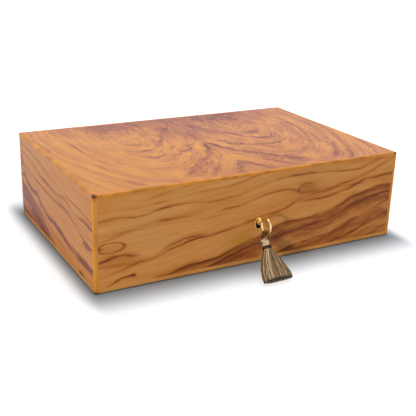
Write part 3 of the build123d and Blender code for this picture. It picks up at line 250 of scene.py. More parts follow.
# Growth lines over the front: how broad a line is, then points along it. At each point:
# millimetres from the left end, height, and strength
FRONT_LINES = (
    (0.8, (28, 84, 0.0), (60, 90, 0.35), (85, 94.5, 0.4), (108, 98, 0.2)),
    (0.9, (30, 81.2, 0.2), (60, 83, 0.5), (85, 85.5, 0.45), (110, 88, 0.65), (130, 88.5, 0.5),
     (152, 90.5, 0.65), (170, 95, 0.5), (186, 98, 0.3)),
    (1.1, (0, 73, 0.5), (15, 74.2, 0.55), (30, 74.4, 0.5), (45, 72.5, 0.75), (62, 75.8, 0.7),
     (82, 78.5, 0.85), (105, 78, 0.6), (122, 76.2, 0.8), (142, 77.2, 0.55), (160, 80, 0.65),
     (182, 84.8, 0.5), (205, 89, 0.75), (235, 90.2, 0.85), (262, 89.4, 0.5), (282, 88.5, 0.7),
     (300, 87, 0.55), (315, 89, 0.6), (334, 95, 0.5), (345, 98, 0.3)),
    (1.0, (128, 65.2, 0.0), (140, 66, 0.6), (160, 67.5, 0.65), (180, 72.4, 0.55), (200, 75.8, 0.75),
     (219, 75.6, 0.7), (229, 72.5, 0.5), (231, 70, 0.3)),
    (1.3, (0, 52.5, 0.3), (18, 55, 0.35), (37, 60, 0.35), (60, 64.2, 0.5), (82, 64.5, 0.4),
     (104, 63.8, 0.2), (125, 63, 0.0)),
    (1.7, (0, 31, 0.7), (15, 34.5, 0.85), (28, 36.2, 0.9), (38, 34.5, 0.8), (48, 32.8, 0.2), (55, 32, 0.0)),
    (1.15, (0, 16, 0.2), (25, 20.5, 0.35), (45, 25.5, 0.75), (55, 26, 0.8), (65, 29, 0.7),
     (75, 32.5, 0.75), (95, 37, 0.85), (107, 39.6, 1.0), (130, 41.2, 0.85), (150, 43.8, 0.75),
     (163, 46.4, 0.85), (181, 50.4, 0.7), (190, 52.4, 0.6), (207, 53.8, 0.85), (217, 57, 0.9),
     (227, 62, 0.8), (240, 61, 0.75), (257, 60, 0.9), (272, 61.6, 0.8), (285, 64, 0.5), (300, 67.5, 0.85),
     (317, 74, 1.0), (335, 75.2, 0.75), (360, 77, 0.9)),
    (1.2, (60, 31, 0.0), (75, 36.5, 0.55), (92, 41, 0.6), (108, 43, 0.5), (125, 44, 0.0)),
    (1.0, (0, 45, 0.0), (238, 62, 0.0), (250, 66.8, 0.45), (265, 67.5, 0.6), (282, 72, 0.65),
     (300, 75, 0.6), (320, 80.8, 0.6), (335, 87, 0.6), (360, 94.5, 0.55)),
    (0.7, (9, 3, 0.0), (12, 5.6, 0.95), (25, 11.2, 0.9), (34, 13, 1.0), (41, 13.8, 0.95), (43, 13.9, 0.0)),
    (1.3, (52, 4, 0.0), (66, 5.4, 0.75), (82, 8, 0.7), (98, 12, 0.9), (117, 12.8, 0.95), (135, 15, 0.8),
     (152, 20.8, 0.95), (168, 25.8, 0.85), (182, 29, 0.7), (192, 33.5, 0.6), (200, 36.5, 0.7),
     (215, 40, 0.8), (237, 39.6, 0.7), (255, 41.8, 0.75), (275, 45, 0.6), (290, 50.5, 0.9),
     (300, 55.8, 0.8), (315, 57.4, 0.7), (330, 62.8, 0.65), (345, 64.8, 0.5), (360, 63.4, 0.5)),
    (1.2, (110, 2, 0.0), (122, 5.5, 0.75), (138, 10.5, 0.85), (155, 15.6, 0.8), (172, 20, 0.7),
     (192, 22.5, 0.7), (212, 26, 0.8), (232, 30, 0.6), (252, 32.5, 0.9), (276, 36, 0.7), (298, 44, 0.9),
     (318, 49.5, 0.7), (340, 54, 0.85), (360, 55, 0.8)),
    (1.3, (190, 2, 0.0), (202, 5, 0.6), (226, 10.5, 0.85), (252, 14.6, 0.8), (280, 18, 0.7),
     (300, 26, 0.9), (322, 32, 0.8), (342, 40.5, 0.75), (360, 45, 0.8)),
    (1.2, (255, 2, 0.0), (272, 5.5, 0.6), (298, 10, 0.8), (318, 17.5, 0.85), (340, 24.5, 0.7),
     (360, 30, 0.8)),
    (1.2, (300, 1, 0.0), (318, 4.5, 0.7), (340, 9, 0.8), (360, 15.5, 0.7)),
)
# How far a growth line has risen along the front, from its left end to its right end
RISE = ((0.0, 0.0), (0.22, 0.033), (0.36, 0.167), (0.5, 0.3), (0.64, 0.517), (0.72, 0.49), (0.86, 0.683),
        (1.0, 0.783))
RISE_UNIT = 0.06
# Height of the reddish heart, and its light and dark bands from its upper edge down
HEART = ((0.0, 0.0), (0.15, 0.02), (0.23, 0.075), (0.325, 0.128), (0.375, 0.15), (0.42, 0.208),
         (0.505, 0.29), (0.555, 0.365), (0.6, 0.4), (0.66, 0.396), (0.76, 0.45), (0.83, 0.558),
         (0.92, 0.628), (0.96, 0.648), (1.0, 0.634))
HEART_UNIT = 0.1
HEART_BANDS = ((0.0, 0.6), (0.04, 0.5), (0.1, 0.3), (0.15, 0.42), (0.22, 0.72), (0.28, 0.4), (0.34, 0.08),
               (0.42, 0.02), (0.48, 0.42), (0.55, 0.7), (0.62, 0.25), (0.7, 0.05), (0.78, 0.45),
               (0.86, 0.15), (1.0, 0.4))
HEART_REACH = 0.065

# Growth lines and heart of the left end: millimetres from its front corner, height, and
# strength. Its figure lies a little lower than the front's.
END_SPAN = (0, 240)
END_DROP = 0.005
END_LINES = (
    (0.8, (10, 76, 0.4), (32, 78.5, 0.35), (65, 79.5, 0.35), (90, 83, 0.3), (115, 84, 0.35),
     (140, 86, 0.4), (157, 89.5, 0.35), (195, 92.5, 0.2)),
    (1.0, (9, 69.5, 0.6), (27, 70.5, 0.55), (45, 69, 0.4), (67, 72, 0.4), (85, 75, 0.5), (105, 72.5, 0.5),
     (140, 74, 0.5), (157, 75.5, 0.5), (177, 80, 0.45), (197, 84, 0.4), (215, 85, 0.3), (235, 85, 0.3)),
    (1.0, (15, 49, 0.4), (40, 54.5, 0.5), (60, 59, 0.4), (80, 63, 0.3), (105, 62, 0.45), (135, 63, 0.35),
     (152, 64, 0.3), (175, 66, 0.45), (192, 69, 0.2)),
    (1.6, (9, 24, 0.3), (27, 25, 0.45), (50, 25, 0.45), (70, 27.5, 0.7), (90, 32, 0.95), (110, 34.5, 1.1),
     (122, 36, 1.1), (135, 35.5, 0.9), (152, 39, 1.0), (167, 43, 1.1), (177, 49.5, 1.0), (190, 48, 1.1),
     (202, 50, 1.1), (217, 54, 1.1), (226, 59, 0.9), (237, 54.5, 0.8)),
    (1.3, (9, 27.5, 0.6), (22, 29, 0.75), (40, 29, 0.7), (60, 30, 0.5), (80, 30, 0.0)),
    (1.5, (60, 13, 0.0), (85, 19, 0.25), (120, 22, 0.2), (150, 29, 0.35), (185, 36, 0.4), (225, 44, 0.3)),
    (1.3, (24, 7.5, 0.0), (28, 8.5, 0.4), (34, 10.5, 0.9), (40, 11, 1.0), (45, 12, 0.0)),
)
END_HEART = ((0.35, 0.0), (0.43, 0.07), (0.52, 0.14), (0.6, 0.23), (0.69, 0.32), (0.79, 0.37),
             (0.86, 0.43), (1.0, 0.5))

# Marks in the wood: where each oval has its middle, and half its size, along and up
SWIRL = ((0.061, 0.0737), (0.012, 0.0062))
KNOT = ((-0.1635, 0.0457), (0.014, 0.0052))
KNOT_CORE = ((-0.1755, 0.0462), (0.0034, 0.0013))
SCAR = ((-0.1405, 0.0132), (0.003, 0.0019))
SMOKY_PATCH = ((-0.156, 0.0295), (0.022, 0.0052))
YELLOW_PATCH = ((-0.021, 0.03), (0.018, 0.013))
END_KNOT = ((-0.0995, 0.048), (0.0092, 0.0034))


def gather_lines(along, across, lines, span, unit):
    """The shade of a leaf's growth lines, at a share along it and a distance across it."""
    start, end = span
    shades = []
    for breadth, *points in lines:
        stops = []
        for far, high, strength in points:
            level = high / unit
            stops.append(((far - start) / (end - start), (level, level, level, strength)))
        course = along.ramp(stops, "CARDINAL")
        offset = (across - course * (unit * MM)) / (LINE_REACH * breadth) + 0.5
        shades.append(offset.ramp(LINE_SHADE) * course.second())
    return sum(shades)


def mark(along, up, middle, half):
    """How far a spot is from the middle of an oval mark, whose rim is at 1."""
    return (((along - middle[0]) / half[0]) ** 2.0 + ((up - middle[1]) / half[1]) ** 2.0).math("SQRT")


veneer, shader, place = finish("olive_veneer", **LACQUER)
x, y, z = place.axes()
end_face = (abs(x) - abs(y)) > HALF_LENGTH - HALF_DEPTH
front_face = y < 0.0
run_end = x.math("SIGN") * (HALF_LENGTH - HALF_DEPTH - y)
run_long = y.math("SIGN") * x * -1.0
run = end_face * run_end + (1.0 - end_face) * run_long
height = z + end_face * END_DROP
left_end = end_face * (x < 0.0)
marked = front_face * (1.0 - end_face)
along = (run + HALF_LENGTH) / (2 * HALF_LENGTH)
rise = along.ramp(RISE, "CARDINAL") * RISE_UNIT
sway = join(run * 0.45, height, 0.0).noise(24.0) - 0.5
shiver = join(run * 0.5, height, 0.3).noise(150.0) - 0.5
swirl = mark(run, height, *SWIRL)
growth = height - rise * (1.9 - height * 14.5) + sway * 0.011 + shiver * 0.0032
growth = growth + swirl.bell(1.2) * 0.012
wavering = height + sway * 0.003 + shiver * 0.0016
from_corner = (y + HALF_DEPTH) / (2 * HALF_DEPTH)
wrapped = gather_lines(along, wavering, FRONT_LINES, FRONT_SPAN, HEIGHT_MM)
end_lines = gather_lines(from_corner, wavering, END_LINES, END_SPAN, HEIGHT_MM)
lines = wrapped * (1.0 - left_end) + end_lines * left_end
open_swirl = run.smooth(0.062, 0.07, 1.0, 0.0) * height.smooth(0.069, 0.073)
lines = lines + (swirl + shiver * 0.5 - 1.0).bell(0.22) * 0.35 * open_swirl + swirl.bell(1.0) * 0.35
patchy = join(run * 0.8, height, 0.7).noise(42.0).smooth(0.3, 0.6, 0.45, 1.1)
bands = join(run * 4.0, growth * 120.0, 2.0).noise(1.0, 2.0, 0.55) - 0.5
streaks = join(run * 14.0, growth * 420.0, 0.0).noise(1.0, 3.0, 0.6) - 0.5
pores = join(run * 70.0, growth * 1700.0, 0.0).noise(1.0, 2.0, 0.6) - 0.5

# The heart: darker and redder wood below its upper edge, banded like the growth lines
heart_top = along.ramp(HEART, "CARDINAL") * (1.0 - left_end) + from_corner.ramp(END_HEART) * left_end
depth = heart_top * HEART_UNIT - height + sway * 0.004 + shiver * 0.002
heart = depth.smooth(left_end * -0.003 - 0.0012, left_end * 0.006 + 0.0022)
heart_sway = join(run * 0.8, height * 1.6, 4.0).noise(34.0, 4.0, 0.62) - 0.5
heart_bands = ((depth + heart_sway * 0.026) / HEART_REACH).ramp(HEART_BANDS) * heart

# Knots and stains: dark rings with a filled middle, a scar and a smoky patch
broken_rim = join(run, height, 0.0).noise(260.0, 1.0).smooth(0.35, 0.5, 0.6, 1.0)
knot_size = mark(run, height, *KNOT) + shiver * 0.35 + sway * 0.5
knot = (knot_size - 1.0).bell(0.13) * broken_rim * 0.5 + knot_size.smooth(0.8, 1.0, 0.07, 0.0)
knot = knot + mark(run, height, *KNOT_CORE).bell(1.0) * 0.5
end_knot_size = mark(y, height, *END_KNOT) + shiver * 0.6
end_knot = end_knot_size.smooth(0.5, 1.25, 0.3, 0.0) + (end_knot_size - 0.9).bell(0.16) * 0.18
smoky = mark(run, height, *SMOKY_PATCH).bell(1.0) * (streaks * 0.8 + 0.26)
stains = knot + mark(run, height, *SCAR).bell(1.0) * 0.5 + smoky

# All of it darkens the wood, from pale sapwood to nearly black
fine = bands * 0.46 + streaks * (heart * 0.7 + 0.32) + pores * 0.16
darkness = lines * patchy * (end_face * 0.46 + 0.72) + fine + heart_bands * 0.58 + heart * 0.05 + 0.125
darkness = darkness + marked * stains + left_end * end_knot
# Painted shade: the end faces are painted darker than the front, besides their stronger heart and streaks.
darkness = darkness + end_face * (heart * 0.22 + streaks * 0.28 + 0.065)
mellow = join(run * 0.55, height * 1.2, 6.0).noise(22.0)
light_wood = darkness.smooth(0.15, 0.55, 1.0, 0.0)
colour = darkness.ramp(VENEER_GROUND)
colour = colour.tint((0.7, 0.24, 0.04), mellow.smooth(0.42, 0.66, 0.0, 0.4) * light_wood)
colour = colour.tint((0.68, 0.34, 0.1), mellow.smooth(0.34, 0.5, 0.3, 0.0) * light_wood)
colour = colour.tint((0.36, 0.1, 0.024), heart_bands * 0.35 + heart * 0.12 + swirl.bell(1.6) * marked * 0.4)
colour = colour.tint((0.8, 0.19, 0.0), end_face * 0.22)
colour = colour.tint((0.2, 0.04, 0.022), end_face * darkness.smooth(0.25, 0.85, 0.0, 0.75))
yellow = mark(run, height, *YELLOW_PATCH).bell(1.0) * front_face * (1.0 - heart) * 0.5
feed(shader, colour.tint((0.6, 0.27, 0.02), yellow))
relief(shader, pores + streaks * 0.5, 0.00004, 0.4)
dress("olive_veneer", veneer)

# Lid veneer: two matched leaves meet on the middle line of the lid. Their growth
# lines are long ovals about a point in each leaf, so the joint shows an arrowhead.
LEAF_CENTRE_X = 0.075
LEAF_CENTRE_Y = 0.06
LEAF_STRETCH = 2.17
LEAF_REACH_MM = 120
LID_GROUND = ((0.0, (0.87, 0.38, 0.092)), (0.24, (0.75, 0.3, 0.088)), (0.45, (0.59, 0.214, 0.09)),
              (0.66, (0.43, 0.135, 0.08)), (0.84, (0.3, 0.082, 0.06)), (1.0, (0.18, 0.046, 0.038)))
LEAF_SPAN = (-180, 180)

# Growth lines round a leaf's centre. At each point: degrees from the front, where the
# joint is on the negative side, then the distance from the centre and the strength
LEAF_LINES = (
    (3.0, (-70, 84, 0.6), (-67, 81, 0.8), (-50, 73, 0.9), (-37, 70.4, 1.0), (-26, 69.6, 1.15),
     (-12, 70, 1.0), (2, 75, 0.3), (8, 77, 0.0)),
    (1.1, (5, 81, 0.0), (14, 80.8, 0.9), (31, 80.8, 0.9), (47, 81, 0.75), (60, 83, 0.4), (75, 88, 0.2)),
    (1.5, (-82, 79, 0.5), (-72, 71, 0.6), (-64, 65, 0.8), (-44, 54, 0.9), (-20, 44.5, 0.7), (5, 42, 0.5),
     (30, 43, 0.3), (50, 45, 0.0)),
    (1.5, (-106, 80, 0.5), (-94, 58, 0.8), (-87, 46, 0.8), (-63, 35, 1.1), (-40, 31.5, 0.5),
     (-10, 31, 0.7), (25, 32, 0.5), (50, 34, 0.2)),
    (1.1, (-60, 94, 0.3), (-56, 90, 0.6), (-51, 84, 0.7), (-42, 81.4, 0.6), (-30, 80.8, 0.6),
     (-15, 82, 0.4), (0, 84, 0.0)),
    (1.2, (-53, 101, 0.5), (-50, 98, 0.8), (-36, 98, 0.7), (-28, 99, 0.0)),
    (1.6, (-50, 20, 0.0), (-35, 20, 0.6), (0, 19.5, 0.7), (30, 20, 0.5), (60, 22, 0.2)),
    (1.2, (-45, 49, 0.0), (-20, 49, 0.3), (5, 50, 0.5), (30, 52, 0.45), (55, 56, 0.3), (90, 60, 0.2)),
    (1.4, (-30, 60, 0.2), (0, 60, 0.3), (30, 62, 0.5), (60, 66, 0.4), (100, 70, 0.3)),
    (1.1, (10, 92, 0.0), (28, 92, 0.6), (45, 92, 0.6), (62, 95, 0.5), (90, 99, 0.3)),
)

lid_veneer, shader, place = finish("olive_veneer_lid", **LACQUER)
x, y, _ = place.axes()
leaf_x = abs(x) - LEAF_CENTRE_X
leaf_y = (y - LEAF_CENTRE_Y) / LEAF_STRETCH
leaf = join(abs(x) + x * 0.06, y * 0.6, 0.0)
sway = leaf.noise(26.0) - 0.5
shiver = leaf.noise(120.0, 3.0, 0.6) - 0.5
distance = (leaf_x ** 2.0 + leaf_y ** 2.0).math("SQRT")
turned = leaf_x.math("ARCTAN2", leaf_y * -1.0) / math.tau + 0.5
burl = leaf.noise(70.0, 4.0, 0.62) - 0.5
burl_zone = abs(x).smooth(0.03, 0.075, 1.0, 0.25)
oval = distance + sway * 0.007 + shiver * 0.004 + burl * burl_zone * 0.018
lines = gather_lines(turned, oval, LEAF_LINES, LEAF_SPAN, LEAF_REACH_MM)
patchy = leaf.noise(40.0).smooth(0.3, 0.62, 0.3, 1.15)
bands = join(oval * 150.0, turned * 14.0, 2.0).noise(1.0, 2.0, 0.6) - 0.5
streaks = join(oval * 560.0, turned * 13.0, 0.0).noise(1.0, 3.0, 0.6)
hairlines = join(oval * 950.0, turned * 9.0, 5.0).noise(1.0, 2.0, 0.55).smooth(0.55, 0.68)
pores = join(oval * 1700.0, turned * 90.0, 0.0).noise(1.0, 2.0, 0.6) - 0.5

# Purplish clouds: at the back and along the joint, at the front of it, and mottled. The
# right half of the lid is painted darker as well: painted shade.
back_cloud = (y + sway * 0.08).smooth(0.045, 0.11) * leaf_x.bell(0.05)
joint_cloud = (y + sway * 0.06).smooth(-0.02, 0.05) * abs(x).bell(0.05)
near_joint = (abs(x) + burl * 0.04).smooth(0.03, 0.07, 1.0, 0.0)
front_cloud = (y + sway * 0.04).smooth(-0.11, -0.05, 1.0, 0.0) * near_joint
mottled = burl * (y + sway * 0.08).smooth(-0.05, 0.08, 0.25, 1.0) * abs(x).smooth(0.115, 0.16, 1.0, 0.3)
# The x term paints the right half of the lid darker: painted shade.
clouds_and_painted_shade = back_cloud * 0.48 + joint_cloud * 0.24 + front_cloud * 0.24 + x.smooth(-0.05, 0.1) * 0.13
fine = bands * 0.85 + streaks.smooth(0.38, 0.64) * 0.3 + hairlines * patchy * 0.4 + pores * 0.16
darkness = lines * patchy * 0.7 + fine + clouds_and_painted_shade + mottled * 0.75 + 0.02
warm = (y * 0.7 + x * 0.5 + sway * 0.05).smooth(-0.12, 0.06, 0.3, 0.0)
colour = darkness.ramp(LID_GROUND).tint((0.36, 0.095, 0.07), back_cloud * 0.35 + joint_cloud * 0.12)
feed(shader, colour.tint((0.74, 0.27, 0.03), warm))
relief(shader, pores + hairlines * 0.3, 0.00004, 0.4)
dress("olive_veneer_top", lid_veneer)

# Edging: square strips of solid wood let into the corners, the lid's rim and the foot.
# They are straight-grained and more orange than the veneer, with dark end grain on top
# of the posts, and painted shade at the foot of the posts.
EDGING = 0.004
ARRIS = 0.0022
TOP_EDGING_START = 0.094
FOOT_EDGING_END = 0.006
ORANGE_WOOD = ((0.0, (0.98, 0.42, 0.05)), (0.35, (0.86, 0.31, 0.025)), (0.65, (0.56, 0.16, 0.012)),
               (1.0, (0.1, 0.025, 0.004)))
PALE_WOOD = ((0.0, (0.88, 0.42, 0.12)), (0.4, (0.72, 0.3, 0.07)), (1.0, (0.32, 0.09, 0.012)))

edging, shader, place = finish("olive_edging", **LACQUER)
x, y, z = place.axes()
post = (abs(x) > HALF_LENGTH - EDGING) * (abs(y) > HALF_DEPTH - EDGING)
arris = post * (abs(x) > HALF_LENGTH - ARRIS)
across_grain = join(x * 900.0, y * 900.0, z * 14.0).noise(1.0, 3.0) * post
along_grain = join(x * 14.0, y * 14.0, z * 900.0).noise(1.0, 3.0) * (1.0 - post)
straight = across_grain + along_grain
blotch = place.noise(28.0)
end_grain = post * z.smooth(0.0965, 0.0985)
worn = (z > TOP_EDGING_START) * place.noise(70.0, 3.0, 0.6).smooth(0.42, 0.62)
# Painted shade: the posts darken towards the foot, standing for the shade where the box meets the table.
painted_foot_shade = post * z.smooth(0.001, 0.004, 0.6, 0.0)
darkness = straight * 0.75 + blotch * 0.5 - 0.25 + end_grain * 0.55 + worn * 0.2 + painted_foot_shade
foot = (z < FOOT_EDGING_END) * (1.0 - post)
pale_share = (foot + (1.0 - arris) * (post * 0.4 + 0.35)).math("MINIMUM", 1.0)
feed(shader, darkness.ramp(ORANGE_WOOD).tint(darkness.ramp(PALE_WOOD), pale_share))
relief(shader, straight, 0.00005, 0.4)
dress("olive_edging", edging)

# Base: a plain board under the case with a sheet of dark felt glued to it, on which the
# box stands.
board, shader, place = finish("base_board", Roughness=0.6)
x, y, z = place.axes()
grain = join(x * 20.0, y * 500.0, z * 500.0).noise(1.0, 3.0)
feed(shader, grain.ramp(((0.2, (0.42, 0.2, 0.08)), (0.8, (0.62, 0.34, 0.16)))))
dress("base_board", board)

felt, shader, place = finish("felt", Roughness=0.95, Specular_IOR_Level=0.1)
fibre = place.noise(1600.0, 4.0, 0.7)
feed(shader, fibre.ramp(((0.2, (0.012, 0.012, 0.012)), (0.8, (0.045, 0.043, 0.041)))))
relief(shader, fibre, 0.0003)
dress("felt", felt)

# Cedar: the lining, the runners and the dividers are unfinished cedar, reddish, with
# straight grain along each board. The tray is of a paler piece of the same wood.
BOARD_WIDTH = 0.025
BOARD_HEIGHT = 0.03
CEDAR_SHADES = ((0.15, (0.62, 0.33, 0.175)), (0.5, (0.47, 0.21, 0.1)), (0.85, (0.27, 0.1, 0.045)))

for slot, paler in (("cedar", 0.0), ("tray_cedar", 0.08)):
    for direction in ("along", "endwise"):
        wood, shader, place = finish(f"{slot}_{direction}", Roughness=0.62, Specular_IOR_Level=0.2)
        x, y, z = place.axes()
        lengthwise, sideways = (x, y) if direction == "along" else (y, x)
        board = join(sideways.math("SNAP", BOARD_WIDTH) * 3.0, z.math("SNAP", BOARD_HEIGHT), 1.0)
        grain = join(lengthwise * 12.0, sideways * 260.0, z * 260.0).noise(1.0, 3.0, 0.6)
        fine = join(lengthwise * 60.0, sideways * 1400.0, z * 1400.0).noise(1.0, 2.0, 0.6)
        rays = join(lengthwise * 90.0, sideways * 900.0, z * 900.0).noise(1.0, 1.0).smooth(0.62, 0.75)
        shade = grain * 0.7 + fine * 0.3 + board.noise(30.0, 0.0) * 0.2 + rays * 0.12 - (paler + 0.08)
        feed(shader, shade.ramp(CEDAR_SHADES))
        relief(shader, fine, 0.00015, 0.6)
        boards = []
        for name in nodes:
            low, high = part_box(name)
            if (high[0] - low[0] >= high[1] - low[1]) == (direction == "along"):
                boards.append(name)
        dress(slot, wood, boards)

# Brass and steel: polished brass for the hinges, lock plates, escutcheon and key, and
# bright steel for the hidden lock case. All are turned or stamped, and worn smooth.
# For each: its bright colour, its tarnished colour, and how rough it is; the key's dark colour is partly a
# painted dark reflection.
METALS = {
    "hinge_brass": ((0.83, 0.56, 0.2), (0.7, 0.42, 0.13), 0.2),
    "screw_brass": ((0.78, 0.52, 0.19), (0.6, 0.36, 0.12), 0.26),
    "lock_brass": ((0.84, 0.52, 0.17), (0.5, 0.26, 0.07), 0.18),
    # The key's dark tarnish is partly a painted dark reflection.
    "key_brass": ((0.95, 0.68, 0.3), (0.36, 0.16, 0.035), 0.1),
    "hygrometer_brass": ((0.88, 0.62, 0.27), (0.72, 0.47, 0.18), 0.18),
    "lock_steel": ((0.56, 0.55, 0.53), (0.42, 0.41, 0.4), 0.3),
    "plate_steel": ((0.6, 0.6, 0.59), (0.47, 0.47, 0.46), 0.28),
    "magnet": ((0.62, 0.62, 0.63), (0.5, 0.5, 0.51), 0.2),
}

for slot, (bright, tarnish_and_painted_reflection, roughness) in METALS.items():
    metal, shader, place = finish(slot, Metallic=1.0)
    x, y, z = place.axes()
    scuffs = join(x * 900.0, y * 200.0, z * 900.0).noise(1.0, 3.0, 0.7)
    feed(shader, place.noise(110.0, 3.0, 0.55).ramp(((0.42, bright), (0.8, tarnish_and_painted_reflection))))
    feed(shader, scuffs * 0.16 + (roughness - 0.05), "Roughness")
    relief(shader, scuffs, 0.00001, 0.2)
    dress(slot, metal)

# Lock barrel: the plug that the key turns sits deep behind the escutcheon. Its brass is
# painted nearly black, a painted shade inside the keyhole, so the keyhole shows dark.
KEYHOLE_SHADE_BLACK = (0.012, 0.008, 0.005)
keyhole_shade_brass, shader, place = finish("painted_shade_brass", Metallic=0.6, Roughness=0.55)
feed(shader, place.noise(500.0, 3.0).ramp(((0.3, KEYHOLE_SHADE_BLACK), (0.75, (0.05, 0.032, 0.018)))))
for held in nodes["lock_barrel"].material_slots:
    held.material = keyhole_shade_brass

# Escutcheon: an oval brass plate pressed round the keyhole, mottled in two shades of brass.
# The face beside the hole is painted black and rougher: painted shade round the keyhole.
KEYHOLE = ((0.0, 0.0424), (0.0035, 0.004))
escutcheon_metal, shader, place = finish("escutcheon_brass", Metallic=1.0)
x, _, z = place.axes()
from_hole = mark(x, z, *KEYHOLE) + place.noise(900.0) * 0.3 - 0.15
# Painted shade: an oval of black round the keyhole.
painted_keyhole_shade = from_hole.smooth(0.85, 1.15, 1.0, 0.0)
plate = place.noise(260.0, 3.0, 0.6).ramp(((0.35, (0.9, 0.6, 0.22)), (0.7, (0.5, 0.26, 0.07))))
feed(shader, plate.tint(KEYHOLE_SHADE_BLACK, painted_keyhole_shade))
feed(shader, painted_keyhole_shade * 0.4 + 0.16, "Roughness")
for held in nodes["escutcheon"].material_slots:
    held.material = escutcheon_metal

# Hygrometer and humidifier: the dial is printed card behind glass, with a blackened
# needle. The humidifier is a moulded black plastic tub with foam behind its grille.
plastic, shader, place = finish("humidifier_plastic", Roughness=0.42)
texture = place.noise(1800.0)
feed(shader, texture.ramp(((0.3, (0.016, 0.016, 0.017)), (0.7, (0.026, 0.026, 0.028)))))
relief(shader, texture, 0.00006, 0.5)
dress("humidifier_plastic", plastic)

foam, shader, place = finish("humidifier_foam", Roughness=0.9)
cells = place.node("ShaderNodeTexVoronoi", {"Vector": place, "Scale": 900.0})
feed(shader, cells.ramp(((0.1, (0.02, 0.05, 0.03)), (0.6, (0.1, 0.22, 0.13)))))
relief(shader, cells, 0.0005)
dress("humidifier_foam", foam)

card, shader, place = finish("dial_card", Roughness=0.55)
paper = place.noise(900.0, 3.0)
feed(shader, paper.ramp(((0.3, (0.8, 0.77, 0.68)), (0.7, (0.86, 0.84, 0.76)))))
dress("dial_card", card)

glass, shader, place = finish("dial_glass", IOR=1.5, Transmission_Weight=1.0)
feed(shader, place.noise(120.0, 3.0) * 0.04, "Roughness")
dress("dial_glass", glass)

blackened, shader, place = finish("needle", Roughness=0.35)
feed(shader, place.noise(700.0).ramp(((0.3, (0.012, 0.012, 0.014)), (0.7, (0.03, 0.03, 0.034)))))
dress("needle", blackened)

# Dial marks: black ink printed on the card, fifty-one strokes with longer ones at the
# tens, and a number at every twenty. The scale runs three quarters of the way round.
DIAL_CENTRE_X = -0.085
DIAL_FACE = 0.0856
INK = 0.00006
STROKES = 51
STROKES_TO_A_LONG_ONE = 5
SCALE_SWEEP = math.radians(270.0)
SCALE_END = 100
NUMBER_STEP = 20
STROKE_END = 0.0172
STROKE_LENGTH = 0.0013
LONG_STROKE_LENGTH = 0.0024
STROKE_WIDTH = 0.0003
NUMBER_RADIUS = 0.0123
NUMBER_HEIGHT = 0.0034


def evaluated_mesh(source, name):
    """The plain mesh that an object with modifiers or a curve comes to."""
    bpy.context.view_layer.update()
    shown = source.evaluated_get(bpy.context.evaluated_depsgraph_get())
    mesh = bpy.data.meshes.new_from_object(shown)
    mesh.name = name
    return mesh


def with_tree(source, tree, values):
    """Run a node tree on an object with named values, and keep only the plain mesh."""
    modifier = source.modifiers.new(tree.name, "NODES")
    modifier.node_group = tree
    for item in tree.interface.items_tree:
        if item.item_type == "SOCKET" and item.in_out == "INPUT" and item.name in values:
            modifier[item.identifier] = values[item.name]
    mesh = evaluated_mesh(source, source.name)
    source.modifiers.remove(modifier)
    bpy.data.objects.remove(source)
    return mesh


def settled(name, form):
    """The mesh that a form comes to once it is built."""
    mesh = bpy.data.meshes.new(name)
    form.to_mesh(mesh)
    form.free()
    return mesh


def new_piece(name, mesh, body, smooth=True):
    """A piece of the object in its finished mesh, riding on a body."""
    made = new_object(name, mesh)
    for polygon in mesh.polygons:
        polygon.use_smooth = smooth
    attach(made, body)
    return made


def new_tree(name, sockets, result):
    """An empty geometry node tree with named inputs, and the way to close it."""
    tree = bpy.data.node_groups.new(name, "GeometryNodeTree")
    for label, kind in sockets.items():
        tree.interface.new_socket(label, in_out="INPUT", socket_type=f"NodeSocket{kind}")
    tree.interface.new_socket(result, in_out="OUTPUT", socket_type="NodeSocketGeometry")
    entry = tree.nodes.new("NodeGroupInput")
    leave = tree.nodes.new("NodeGroupOutput")
    given = {label: Socket(tree, entry.outputs[label]) for label in sockets}

    def close(shape):
        shape = shape.node("GeometryNodeRealizeInstances", {"Geometry": shape})
        shape = shape.node("GeometryNodeSetMaterial", {"Geometry": shape, "Material": given["Finish"]})
        tree.links.new(shape.output, leave.inputs[result])
        return tree

    return given, close


def stroke_tree():
    """A node tree that sets strokes round a dial, hanging under a face."""
    given, close = new_tree("dial_strokes", {
        "Geometry": "Geometry", "Strokes": "Int", "End Radius": "Float", "Length": "Float",
        "Long Length": "Float", "Width": "Float", "Thickness": "Float", "Finish": "Material"}, "Marks")
    start = given["Strokes"]
    number = start.node("GeometryNodeInputIndex")
    angle = (number / (start - 1.0) - 0.5) * SCALE_SWEEP
    long_one = number.math("MODULO", STROKES_TO_A_LONG_ONE) < 0.5
    length = given["Length"] + long_one * (given["Long Length"] - given["Length"])
    radius = given["End Radius"] - length * 0.5
    spot = join(angle.math("SINE") * radius + DIAL_CENTRE_X, angle.math("COSINE") * radius * -1.0,
                given["Thickness"] * -0.5 + DIAL_FACE)
    points = start.node("GeometryNodePoints", {"Count": start, "Position": spot})
    stroke = start.node("GeometryNodeMeshCube", {"Size": (1, 1, 1)})
    size = join(given["Width"] * (long_one * 0.5 + 1.0), length, given["Thickness"])
    return close(start.node("GeometryNodeInstanceOnPoints", {
        "Points": points, "Instance": stroke, "Rotation": join(0.0, 0.0, angle), "Scale": size}))


